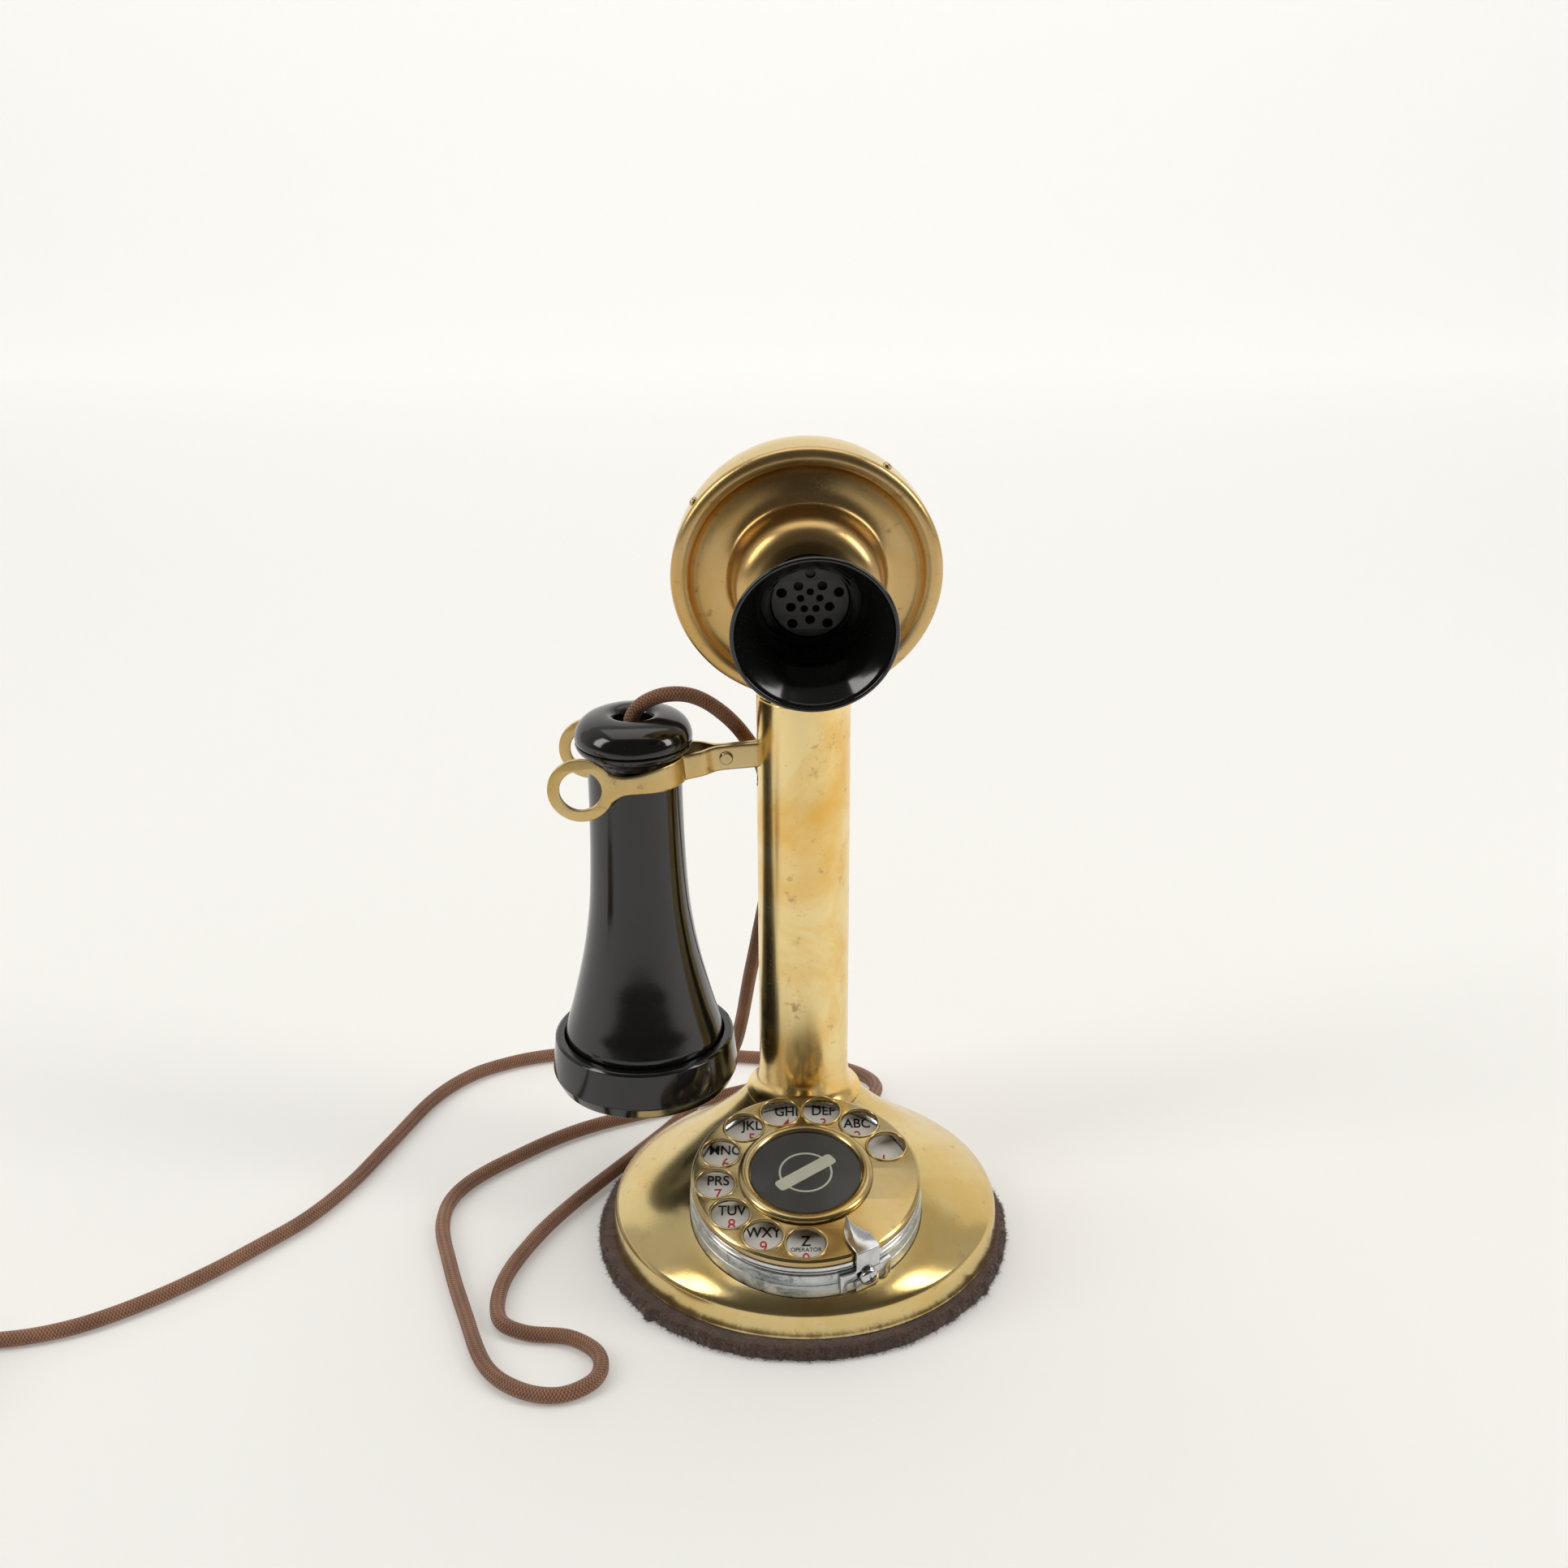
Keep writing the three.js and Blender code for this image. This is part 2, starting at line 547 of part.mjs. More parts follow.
/** The ring at the tip of a strip, with the neck that widens into it, standing in X and Z. */
function ringOutline() {
  const x = -76.6;
  const half = HOOK.height / 2;
  const shape = new THREE.Shape();
  shape.moveTo(x + 19, -half);
  shape.quadraticCurveTo(x + 12, -half - 0.6, x + 7.4, -8.1);
  shape.absarc(x, 0, HOOK.ringRadius, -rad(47.5), rad(47.5), true);
  shape.quadraticCurveTo(x + 12, half + 0.6, x + 19, half);
  shape.holes.push(new THREE.Path().absarc(x, 0, HOOK.ringHole, 0, 2 * Math.PI, false));
  return shape;
}

function hookArm(side) {
  const half = HOOK.height / 2;
  const strip = plate(stripOutline(), -half, half, 7);
  const ring = standing(ringOutline(), -17.75 - HOOK.strip, -17.75, 10);
  const pivotHole = rod(1.7, 10, 'y').translate(0, 0, 0);
  const rivetHole = rod(1.5, 10, 'y', 12).translate(-26 - HOOK.pivotX, 0, 0);
  const arm = cut(join(strip, ring), pivotHole, rivetHole);
  return side < 0 ? arm : clean(arm.scale(1, -1, 1));
}

function buildHook() {
  const group = new THREE.Group();
  group.position.set(HOOK.pivotX, HOOK.y, HOOK.pivotZ);
  group.rotation.y = -rad(HOOK.slope);
  add(group, 'hook_front_arm', hookArm(-1), brass);
  add(group, 'hook_rear_arm', hookArm(1), brass);
  const face = HOOK.strip + 0.15 + GAP;
  const rivet = turned([
    [0, -face - 0.6], [2.2, -face - 0.6], [2.4, -face], [1.2, -face],
    [1.2, face], [2.4, face], [2.2, face + 0.6], [0, face + 0.6],
  ], 16);
  add(group, 'hook_rivet', rivet.rotateX(Math.PI / 2).translate(-26 - HOOK.pivotX, 0, 0), brass);
  return group;
}

// ---------------------------------------------------------------- receiver
function buildReceiver() {
  const group = new THREE.Group();
  group.position.set(RECEIVER.x, RECEIVER.y, 0);
  const { bottom, seam, top, neck } = RECEIVER;
  add(group, 'receiver_shell', turned([
    [27.7, 61], [27.7, 66], [22.6, 85], [19.6, 99], [17.3, 116], [16.2, 135], [neck, 155],
    [neck, 168.8], [17, 170.9], [19, 172.8], [19.7, seam - GAP], [12, seam - GAP], [12, 110], [15, 95],
    [20, 80], [24.8, 66], [24.8, 61],
  ], 32), bakelite);
  add(group, 'receiver_top_cap', turned([
    [19.7, seam], [19.4, 178], [17.8, 181.2], [14.4, 183.6], [9, top], [6.6, 184], [5.8, 182], [5.8, seam],
  ], 32), bakelite);
  add(group, 'receiver_ear_cap', turned([
    [6, 46.6], [17, 45.2], [24, bottom], [27, bottom], [31, 46.2], [33, 50.4], [31.6, 63], [30.8, 63.6],
    [28.4, 63.6], [28.4, 60], [29.8, 60], [29.8, 52.4], [27, 49.6], [6, 49.6],
  ], 36), bakelite);
  add(group, 'receiver_diaphragm', disc(27.5, 54, 54.5, 0, 36), steel);
  for (const side of [-1, 1]) {
    const name = side < 0 ? 'left' : 'right';
    add(group, `receiver_coil_${name}`, disc(5.4, 57, 67, 2.6, 20).translate(side * 6.4, 0, 0), copper);
  }
  const legs = [-1, 1].map((side) => block([side * 6.4 - 1.7, -1.7, 55.4], [side * 6.4 + 1.7, 1.7, 160]));
  add(group, 'receiver_magnet', join(...legs, block([-8.1, -1.7, 157], [8.1, 1.7, 162])), steel);
  return group;
}

// ---------------------------------------------------------------- cords
/** From the receiver's cap, over the hook, down behind the stem, round the table and into the base. */
const RECEIVER_CORD = [
  [-57.6, 30, 177.7], [-57.2, 30, 182.5], [-53.6, 30, 187.4], [-46, 30.7, 190.4], [-37, 32.2, 189.4],
  [-28.5, 35, 183.4], [-20.5, 39.5, 173], [-14, 45.5, 158], [-11, 52, 135], [-12.5, 59, 108], [-16.5, 66, 82],
  [-20, 72.5, 61], [-23.6, 80.5, 37], [-27, 86, 22], [-34, 83, 11], [-43, 70.5, 5.4], [-52.5, 57, 2.8],
  [-82, 13, 2.7], [-95, -11, 2.7], [-102.5, -34, 2.7], [-101.5, -53, 2.7], [-92, -60.5, 2.7], [-77, -63, 2.7],
  [-67, -71.5, 2.7], [-67, -83, 2.7], [-77.5, -90.3, 2.7], [-91, -87.5, 2.7], [-103, -76, 2.7],
  [-113, -51, 2.7],
  [-122, -25, 2.7], [-128.5, 0, 2.7], [-125, 20, 2.7], [-108, 40, 2.7], [-80, 61.5, 2.7], [-28, 83.5, 2.7],
  [-8, 91.2, 3], [5.5, 89.8, 4.6], [9.8, 80, 7.8], [8.4, 70, 9.4], [7.6, 62, 9.4],
];

/** From the base, behind the receiver and away to the left, up to the coil. */
const LINE_CORD = [
  [22.6, 58.9, 9.4], [25.6, 66.6, 9.4], [28, 74, 8.4], [29, 82, 6.4], [27, 91, 4.4], [21, 99, 3.1],
  [10, 105.5, 2.7], [-4, 109, 2.7], [-20, 111, 2.7], [-40, 113.5, 2.7], [-62, 115.5, 2.7], [-84, 115.5, 2.7],
  [-102, 113.5, 2.7], [-118, 108, 2.7], [-133, 98, 2.7], [-145.5, 80, 2.7], [-156.5, 50, 2.7],
  [-166, 24, 2.7], [-177, 3, 2.7], [-190, -13, 2.7], [-204.5, -29, 2.7], [-220, -43, 2.7], [-236, -54, 2.7],
  [-250, -60, 2.7], [-264, -62.8, 2.7], [-278, -62.4, 2.7], [-291, -61.2, 2.7],
];

/** From the coil to the end fitting. */
const CORD_TAIL = [
  [-324.5, -125.4, 2.7], [-327.2, -133.5, 2.7], [-331.5, -141, 2.7], [-338, -147, 2.7], [-346, -151, 2.7],
];

function buildCords(group) {
  add(group, 'receiver_cord', cordTube(RECEIVER_CORD, 80), braid);
  add(group, 'line_cord', cordTube(LINE_CORD, 50), braid);
  add(group, 'line_cord_tail', cordTube(CORD_TAIL, 6), braid);
  const { x, y, middle, columns, layers } = COIL;
  const half = columns * CORD.radius + 0.2;
  const ring = disc(middle + half, 0, layers * 2 * CORD.radius, middle - half, 40).translate(x, y, 0);
  add(group, 'line_cord_coil', ring, braid);
}

/** The crimped sleeve and the spade tips that the line cord ends in. */
function buildCordEnd(group) {
  const [from, to] = [v3(...CORD_TAIL.at(-2)), v3(...CORD_TAIL.at(-1))];
  const end = new THREE.Group();
  end.position.copy(to);
  end.rotation.z = Math.atan2(to.y - from.y, to.x - from.x);
  add(end, 'line_cord_sleeve', rod(2.6, 9, 'x').translate(4.5 + GAP, 0, 0), brass);
  for (let i = 0; i < 2; i++) {
    const side = 2 * i - 1;
    const lead = join(rod(0.9, 16, 'x', 8).translate(8, 0, 0), spade().translate(17, 0, 0));
    lead.rotateZ(rad(15 * side)).translate(9.6 + GAP, 1.2 * side, -1.6);
    add(end, `spade_tip_${i + 1}`, lead, copper);
  }
  group.add(end);
}

/** A forked terminal, flat, with its barrel at the origin. */
function spade() {
  const shape = new THREE.Shape();
  shape.moveTo(-3, -1.2);
  shape.lineTo(2, -1.2);
  shape.lineTo(4, -3.4);
  shape.lineTo(11, -3.4);
  shape.lineTo(11, -1.7);
  shape.lineTo(6, -1.7);
  shape.absarc(6, 0, 1.7, -Math.PI / 2, Math.PI / 2, true);
  shape.lineTo(11, 1.7);
  shape.lineTo(11, 3.4);
  shape.lineTo(4, 3.4);
  shape.lineTo(2, 1.2);
  shape.lineTo(-3, 1.2);
  return plate(shape, -0.5, 0.5, 6);
}

// ---------------------------------------------------------------- the whole telephone
buildBase(telephone);
buildStem(telephone);
telephone.add(buildDial());
telephone.add(buildHead());
telephone.add(buildHook());
telephone.add(buildReceiver());
buildCords(telephone);
buildCordEnd(telephone);

export default telephone;
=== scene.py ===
"""An upright brass desk telephone: a felt-footed dome with a rotary dial, a tubular stem, a
transmitter with a trumpet mouthpiece, and a black receiver that hangs on a forked hook.
Shapes are worked out in millimetres in the frames of their own pieces and placed in metres."""
import bmesh
import bpy
import json
import math
import random
from math import cos, pi, sin
from mathutils import Matrix, Vector, noise

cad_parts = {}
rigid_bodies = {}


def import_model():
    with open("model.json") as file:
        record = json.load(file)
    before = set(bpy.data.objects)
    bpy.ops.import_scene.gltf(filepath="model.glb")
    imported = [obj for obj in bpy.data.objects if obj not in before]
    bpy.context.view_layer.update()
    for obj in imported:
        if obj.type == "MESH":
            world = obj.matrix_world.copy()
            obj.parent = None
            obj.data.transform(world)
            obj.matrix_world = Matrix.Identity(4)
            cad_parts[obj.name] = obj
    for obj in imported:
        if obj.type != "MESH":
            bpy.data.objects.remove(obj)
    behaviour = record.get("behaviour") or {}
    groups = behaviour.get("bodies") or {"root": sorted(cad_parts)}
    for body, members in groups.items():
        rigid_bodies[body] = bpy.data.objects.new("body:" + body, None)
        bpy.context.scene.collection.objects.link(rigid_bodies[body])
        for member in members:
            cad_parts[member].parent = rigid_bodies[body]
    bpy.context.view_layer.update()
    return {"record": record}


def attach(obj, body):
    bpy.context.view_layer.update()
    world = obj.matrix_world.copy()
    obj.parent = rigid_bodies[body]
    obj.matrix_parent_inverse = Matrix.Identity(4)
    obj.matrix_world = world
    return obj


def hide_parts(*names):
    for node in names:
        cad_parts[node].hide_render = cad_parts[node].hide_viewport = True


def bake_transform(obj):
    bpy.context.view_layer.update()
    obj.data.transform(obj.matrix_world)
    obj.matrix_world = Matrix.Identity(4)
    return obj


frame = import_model()
scene = bpy.context.scene
rad = math.radians

# ---------- driving dimensions, in mm
TO_METRES = Matrix.Scale(0.001, 4)
STEM_Y = 31.0
DIAL = TO_METRES @ Matrix.Translation((0, -27.4, 41)) @ Matrix.Rotation(rad(11.2), 4, "X")
HEAD = TO_METRES @ Matrix.Translation((0, STEM_Y, 0)) @ Matrix.Rotation(rad(2.4), 4, "Z")
CUP = HEAD @ Matrix.Translation((0, -22.1, 237.3)) @ Matrix.Rotation(rad(97.3), 4, "X")
HOOK = TO_METRES @ Matrix.Translation((3, 30, 171.2)) @ Matrix.Rotation(rad(-5.2), 4, "Y")
RECEIVER = TO_METRES @ Matrix.Translation((-56.8, 30, 0))
STEM = TO_METRES @ Matrix.Translation((0, STEM_Y, 0))
CASE_RADIUS = 39.0
CASE_BOTTOM = -16.5
WHEEL_RADIUS = 38.4
HOLE_CIRCLE = 30.4
HOLE_ANGLES = [24.8 + 27.2 * i for i in range(10)]
STOP_ANGLE = -61.0
HOLE_RADIUS = 6.5
PLATE_TOP = -4.4
FELT_RADIUS = 71.0
FELT_CENTRE = Vector((-0.8, -1.4, 0))
CORD_HOLE_ANGLES = (7, 21)
CORD_HOLE_REACH = 67.6
CORD_HOLE_HEIGHT = 9.4
RING_CENTRE = Vector((-76.6, -18.55, 0))
QUARTER_X = Matrix.Rotation(rad(90), 4, "X")
QUARTER_Y = Matrix.Rotation(rad(90), 4, "Y")
QUARTER_Z = Matrix.Rotation(rad(90), 4, "Z")
BRAID_RADIUS = 2.561
RECEIVER_CORD = [
    (-57.6, 30, 177.7), (-57.2, 30, 182.5), (-53.6, 30, 187.4), (-46, 30.7, 190.4), (-37, 32.2, 189.4),
    (-28.5, 35, 183.4), (-20.5, 39.5, 173), (-14, 45.5, 158), (-11, 52, 135), (-12.5, 59, 108),
    (-16.5, 66, 82), (-20, 72.5, 61), (-23.6, 80.5, 37), (-27, 86, 22), (-34, 83, 11), (-43, 70.5, 5.4),
    (-52.5, 57, 2.8), (-82, 13, 2.7), (-95, -11, 2.7), (-102.5, -34, 2.7), (-101.5, -53, 2.7),
    (-92, -60.5, 2.7), (-77, -63, 2.7), (-67, -71.5, 2.7), (-67, -83, 2.7), (-77.5, -90.3, 2.7),
    (-91, -87.5, 2.7), (-103, -76, 2.7), (-113, -51, 2.7), (-122, -25, 2.7), (-128.5, 0, 2.7),
    (-125, 20, 2.7), (-108, 40, 2.7), (-80, 61.5, 2.7),
    (-28, 83.5, 2.7), (-8, 91.2, 3), (5.5, 89.8, 4.6), (9.8, 80, 7.8), (8.4, 70, 9.4), (7.6, 62, 9.4),
]
LINE_CORD = [
    (22.6, 58.9, 9.4), (25.6, 66.6, 9.4), (28, 74, 8.4), (29, 82, 6.4), (27, 91, 4.4), (21, 99, 3.1),
    (10, 105.5, 2.7), (-4, 109, 2.7), (-20, 111, 2.7), (-40, 113.5, 2.7), (-62, 115.5, 2.7),
    (-84, 115.5, 2.7), (-102, 113.5, 2.7), (-118, 108, 2.7), (-133, 98, 2.7), (-145.5, 80, 2.7),
    (-156.5, 50, 2.7), (-166, 24, 2.7), (-177, 3, 2.7), (-190, -13, 2.7), (-204.5, -29, 2.7),
    (-220, -43, 2.7), (-236, -54, 2.7), (-250, -60, 2.7), (-264, -62.8, 2.7), (-278, -62.4, 2.7),
    (-291, -61.2, 2.7),
]
CORD_TAIL = [
    (-324.5, -125.4, 2.7), (-327.2, -133.5, 2.7), (-331.5, -141, 2.7), (-338, -147, 2.7), (-346, -151, 2.7),
]
COIL_CENTRE = (-314.0, -92.0)
COIL_COLUMNS = (31.7, 26.4)
COIL_LEVEL = 5.25
COIL_TURNS = 7


# ---------- camera and light
def linked(name, data):
    """A new object that holds the data, in the scene."""
    made = bpy.data.objects.new(name, data)
    scene.collection.objects.link(made)
    return made


def make_camera():
    data = bpy.data.cameras.new("camera")
    data.lens = 43.99
    data.sensor_width = 36
    data.clip_start = 0.01
    camera = linked("camera", data)
    turn = Matrix.Rotation(rad(67), 4, "X") @ Matrix.Rotation(rad(-0.29), 4, "Z")
    camera.matrix_world = Matrix.Translation((-0.00658, -0.5661, 0.41135)) @ turn
    scene.camera = camera


def area_light(name, place, target, size, power, colour=(1, 1, 1)):
    data = bpy.data.lights.new(name, "AREA")
    data.shape = "RECTANGLE"
    data.size, data.size_y = size
    data.energy = power
    data.color = colour
    aim = Vector(target) - Vector(place)
    turn = aim.to_track_quat("-Z", "Y").to_matrix().to_4x4()
    linked(name, data).matrix_world = Matrix.Translation(place) @ turn


def lit_paper():
    """Pale paper that glows a little more towards the back, as a lit sweep does."""
    n = Nodes("paper")
    split = n.add("SeparateXYZ", Vector=n.place.outputs["Object"])
    glow = n.math("MULTIPLY_ADD", n.math("MAXIMUM", split.outputs["Y"], 0.0), 0.2, 0.2)
    n.set(Base_Color=(0.80, 0.79, 0.765), Roughness=0.75, Emission_Strength=glow)
    n.set(Emission_Color=(1.0, 0.985, 0.955), Specular_IOR_Level=0.2)
    return n.made


def make_world():
    """Light that grows from the dark room before the object to the bright wall behind it."""
    world = bpy.data.worlds.new("studio")
    world.use_nodes = True
    nodes, links = world.node_tree.nodes, world.node_tree.links
    background = nodes["Background"]
    where = nodes.new("ShaderNodeTexCoord")
    split = nodes.new("ShaderNodeSeparateXYZ")
    ramp = nodes.new("ShaderNodeValToRGB")
    ramp.color_ramp.elements[0].position = 0.30
    ramp.color_ramp.elements[0].color = (0.16, 0.15, 0.14, 1)
    ramp.color_ramp.elements[1].position = 0.62
    ramp.color_ramp.elements[1].color = (1, 0.985, 0.96, 1)
    half = nodes.new("ShaderNodeMath")
    half.operation = "MULTIPLY_ADD"
    half.inputs[1].default_value = 0.5
    half.inputs[2].default_value = 0.5
    links.new(where.outputs["Generated"], split.inputs[0])
    links.new(split.outputs["Y"], half.inputs[0])
    links.new(half.outputs[0], ramp.inputs[0])
    links.new(ramp.outputs[0], background.inputs[0])
    background.inputs[1].default_value = 0.5
    scene.world = world
    scene.view_settings.view_transform = "Standard"


def make_backdrop():
    """A sweep of paper: flat under the object, then bent up behind it."""
    bend_start, bend_radius, steps = 1.6, 0.8, 12
    profile = [(-0.9, 0), (bend_start, 0)]
    for i in range(1, steps + 1):
        angle = rad(90 * i / steps)
        rise = bend_radius - bend_radius * cos(angle)
        profile.append((bend_start + bend_radius * sin(angle), rise))
    profile.append((bend_start + bend_radius, 2.6))
    mesh = bpy.data.meshes.new("backdrop")
    verts = [(x, y, z) for y, z in profile for x in (-3.5, 3.5)]
    faces = [(2 * i, 2 * i + 1, 2 * i + 3, 2 * i + 2) for i in range(len(profile) - 1)]
    mesh.from_pydata(verts, [], faces)
    mesh.polygons.foreach_set("use_smooth", [True] * len(faces))
    mesh.materials.append(lit_paper())
    floor = linked("backdrop", mesh)


def make_lights():
    area_light("left_softbox", (-1.15, -0.35, 0.85), (0, 0, 0.12), (0.4, 0.9), 6, (1, 0.985, 0.96))
    area_light("right_softbox", (1.1, -0.25, 0.8), (0, 0, 0.12), (0.3, 0.9), 5.5, (1, 0.985, 0.96))
    area_light("overhead", (0, 0.25, 1.5), (0, 0.05, 0), (1.6, 1.2), 6, (1, 0.99, 0.97))


# ---------- material nodes
class Nodes:
    """A new material, with short calls that add and link its shader nodes."""

    def __init__(self, name):
        self.made = bpy.data.materials.new(name)
        self.made.use_nodes = True
        self.tree = self.made.node_tree
        self.shader = self.tree.nodes["Principled BSDF"]
        self.place = self.tree.nodes.new("ShaderNodeTexCoord")

    def link(self, value, socket):
        if hasattr(value, "links"):
            self.tree.links.new(value, socket)
        else:
            socket.default_value = value

    def add(self, kind, **values):
        """A new node with its inputs set or linked by name."""
        node = self.tree.nodes.new("ShaderNode" + kind)
        for name, value in values.items():
            self.link(value, node.inputs[name])
        return node

    def mapped(self, scale):
        return self.add("Mapping", Vector=self.place.outputs["Object"], Scale=scale).outputs[0]

    def noise(self, scale, detail=4.0, rough=0.55, vector=None, distortion=0.0):
        node = self.add("TexNoise", Vector=vector or self.place.outputs["Object"], Scale=scale,
                        Detail=detail, Roughness=rough, Distortion=distortion)
        return node.outputs["Fac"]

    def ramp(self, value, *stops):
        node = self.add("ValToRGB", Fac=value)
        while len(node.color_ramp.elements) < len(stops):
            node.color_ramp.elements.new(0.5)
        for element, (position, colour) in zip(node.color_ramp.elements, stops):
            element.position = position
            element.color = (*colour, 1) if hasattr(colour, "__len__") else (colour, colour, colour, 1)
        return node.outputs[0]

    def mix(self, factor, a, b, mode="MIX"):
        node = self.add("Mix")
        node.data_type = "RGBA"
        node.blend_type = mode
        self.link(factor, node.inputs[0])
        self.link((*a, 1) if isinstance(a, tuple) else a, node.inputs[6])
        self.link((*b, 1) if isinstance(b, tuple) else b, node.inputs[7])
        return node.outputs[2]

    def math(self, operation, a, b=0.0, c=0.0):
        node = self.add("Math")
        node.operation = operation
        for value, socket in zip((a, b, c), node.inputs):
            self.link(value, socket)
        return node.outputs[0]

    def bump(self, height, strength, distance):
        node = self.add("Bump", Height=height, Strength=strength, Distance=distance)
        self.link(node.outputs[0], self.shader.inputs["Normal"])

    def set(self, **values):
        for name, value in values.items():
            socket = self.shader.inputs[name.replace("_", " ")]
            self.link((*value, 1) if isinstance(value, tuple) and len(value) == 3 else value, socket)


def aged_brass(name, base, dark, amount, rough, amber=(0.93, 0.83, 0.62)):
    """Old polished brass: amber clouds, brown spots, hairline scratches and a soft haze."""
    n = Nodes(name)
    clouds = n.ramp(n.noise(22, 5, 0.6, distortion=0.6), (0.42, 0.0), (0.62, 1.0))
    warm = n.mix(clouds, base, tuple(c * f for c, f in zip(base, amber)))
    spots = n.ramp(n.noise(150, 6, 0.7), (0.60, 0.0), (0.72, 1.0))
    freckles = n.ramp(n.noise(900, 3, 0.6), (0.66, 0.0), (0.74, 1.0))
    stain = n.math("MULTIPLY", n.math("MAXIMUM", spots, n.math("MULTIPLY", freckles, 0.6)), amount)
    n.set(Base_Color=n.mix(stain, warm, dark), Metallic=1.0)
    haze = n.noise(60, 6, 0.65)
    scratch = n.noise(1.0, 3, 0.6, n.mapped((1400, 1400, 90)))
    roughness = n.math("MULTIPLY_ADD", haze, 0.16, rough - 0.06)
    n.set(Roughness=n.math("MULTIPLY_ADD", stain, 0.22, roughness))
    n.bump(n.math("ADD", scratch, n.math("MULTIPLY", haze, 1.4)), 0.05, 0.0004)
    return n.made


def plain_metal(name, colour, rough, scratch=0.05, cloud=0.12):
    n = Nodes(name)
    stain = n.ramp(n.noise(130, 6, 0.65), (0.35, 0.0), (0.8, 1.0))
    n.set(Base_Color=n.mix(stain, colour, tuple(0.55 * c for c in colour)), Metallic=1.0)
    n.set(Roughness=n.math("MULTIPLY_ADD", n.noise(400, 4), cloud, rough))
    n.bump(n.noise(1.0, 4, 0.7, n.mapped((2600, 300, 900))), scratch, 0.0003)
    return n.made


def cast_zinc():
    """Grey die casting with darker handling marks and bright nicks."""
    n = Nodes("zinc")
    dull, grey, bright = (0.2, 0.215, 0.22), (0.55, 0.59, 0.60), (0.74, 0.78, 0.79)
    marks = n.ramp(n.noise(95, 7, 0.7, distortion=0.8), (0.34, dull), (0.48, grey), (0.72, bright))
    nicks = n.ramp(n.noise(1100, 3, 0.7), (0.66, 0.0), (0.70, 1.0))
    n.set(Base_Color=n.mix(nicks, marks, (0.80, 0.82, 0.82)), Metallic=0.85)
    n.set(Roughness=n.math("MULTIPLY_ADD", n.noise(300, 5), 0.25, 0.24))
    n.bump(n.noise(1500, 5, 0.7), 0.12, 0.0003)
    return n.made


def black_bakelite(name, colour, rough):
    """Polished black moulding with faint swirls, a few dust specks and rubbed haze."""
    n = Nodes(name)
    dust = n.ramp(n.noise(2600, 2, 0.5), (0.735, 0.0), (0.76, 1.0))
    swirl = n.mix(n.noise(35, 6, 0.7, distortion=1.2), colour, tuple(2.2 * c for c in colour))
    n.set(Base_Color=n.mix(n.math("MULTIPLY", dust, 0.5), swirl, (0.22, 0.2, 0.17)))
    haze = n.math("MULTIPLY_ADD", n.noise(70, 6, 0.6), 0.14, rough)
    n.set(Roughness=n.math("MULTIPLY_ADD", dust, 0.4, haze))
    n.set(IOR=1.58)
    n.bump(n.noise(260, 4, 0.6), 0.03, 0.0004)
    return n.made


def braided_cotton():
    """Two sets of yarns that cross at a slant and pass over and under each other, with painted shade in the
    hollows between them and a painted highlight on their crowns.
    """
    n = Nodes("braid")
    split = n.add("SeparateXYZ", Vector=n.place.outputs["UV"])
    around = n.math("MULTIPLY", split.outputs["X"], 8.0)
    along = n.math("MULTIPLY", split.outputs["Y"], 900.0)
    right = n.math("ADD", around, along)
    left = n.math("SUBTRACT", around, along)
    right_wave, left_wave = [n.math("SINE", n.math("MULTIPLY", turns, pi)) for turns in (right, left)]
    upper = n.math("GREATER_THAN", n.math("MULTIPLY", right_wave, left_wave), 0.0)
    height = n.mix(upper, n.math("ABSOLUTE", left_wave), n.math("ABSOLUTE", right_wave))
    # Painted shade and highlight: the darkest colour fills the hollows between yarns and the lightest one
    # their crowns; the brown between is the yarn's own colour.
    deep, brown, tan = (0.06, 0.024, 0.014), (0.23, 0.105, 0.062), (0.42, 0.225, 0.14)
    yarn_and_painted_shade = n.ramp(height, (0.0, deep), (0.45, brown), (1.0, tan))
    wear = n.ramp(n.noise(70, 5, 0.6), (0.3, 0.75), (0.7, 1.15))
    fleck = n.ramp(n.noise(1500, 2, 0.6), (0.62, 0.0), (0.75, 1.0))
    colour = n.mix(1.0, yarn_and_painted_shade, wear, "MULTIPLY")
    n.set(Base_Color=n.mix(n.math("MULTIPLY", fleck, 0.35), colour, (0.42, 0.28, 0.22)), Roughness=0.9)
    n.set(Sheen_Weight=0.25, Sheen_Roughness=0.5, Specular_IOR_Level=0.2)
    n.bump(height, 0.6, 0.00035)
    return n.made


def wool_felt(name, lift):
    n = Nodes(name)
    dark, middle, pale = [tuple(lift * c for c in shade) for shade in
                          ((0.045, 0.026, 0.02), (0.11, 0.064, 0.048), (0.24, 0.155, 0.12))]
    base = n.ramp(n.noise(420, 7, 0.75, distortion=1.5), (0.3, dark), (0.55, middle), (0.8, pale))
    n.set(Base_Color=base, Roughness=1.0, Sheen_Weight=0.4, Specular_IOR_Level=0.1)
    n.bump(n.noise(1500, 6, 0.8), 0.9, 0.0008)
    return n.made


def painted(name, colour, rough, mottle=0.04, coat=0.0):
    n = Nodes(name)
    n.set(Base_Color=n.mix(n.noise(180, 5), colour, tuple(c * (1 - mottle * 4) for c in colour)))
    n.set(Roughness=n.math("MULTIPLY_ADD", n.noise(500, 4), 0.12, rough), Coat_Weight=coat)
    n.bump(n.noise(900, 4), 0.03, 0.0003)
    return n.made


def clear_sheet():
    n = Nodes("clear")
    n.set(Base_Color=(0.97, 0.97, 0.95), Transmission_Weight=1.0, IOR=1.2)
    n.set(Roughness=n.math("MULTIPLY_ADD", n.noise(700, 4), 0.10, 0.01))
    return n.made


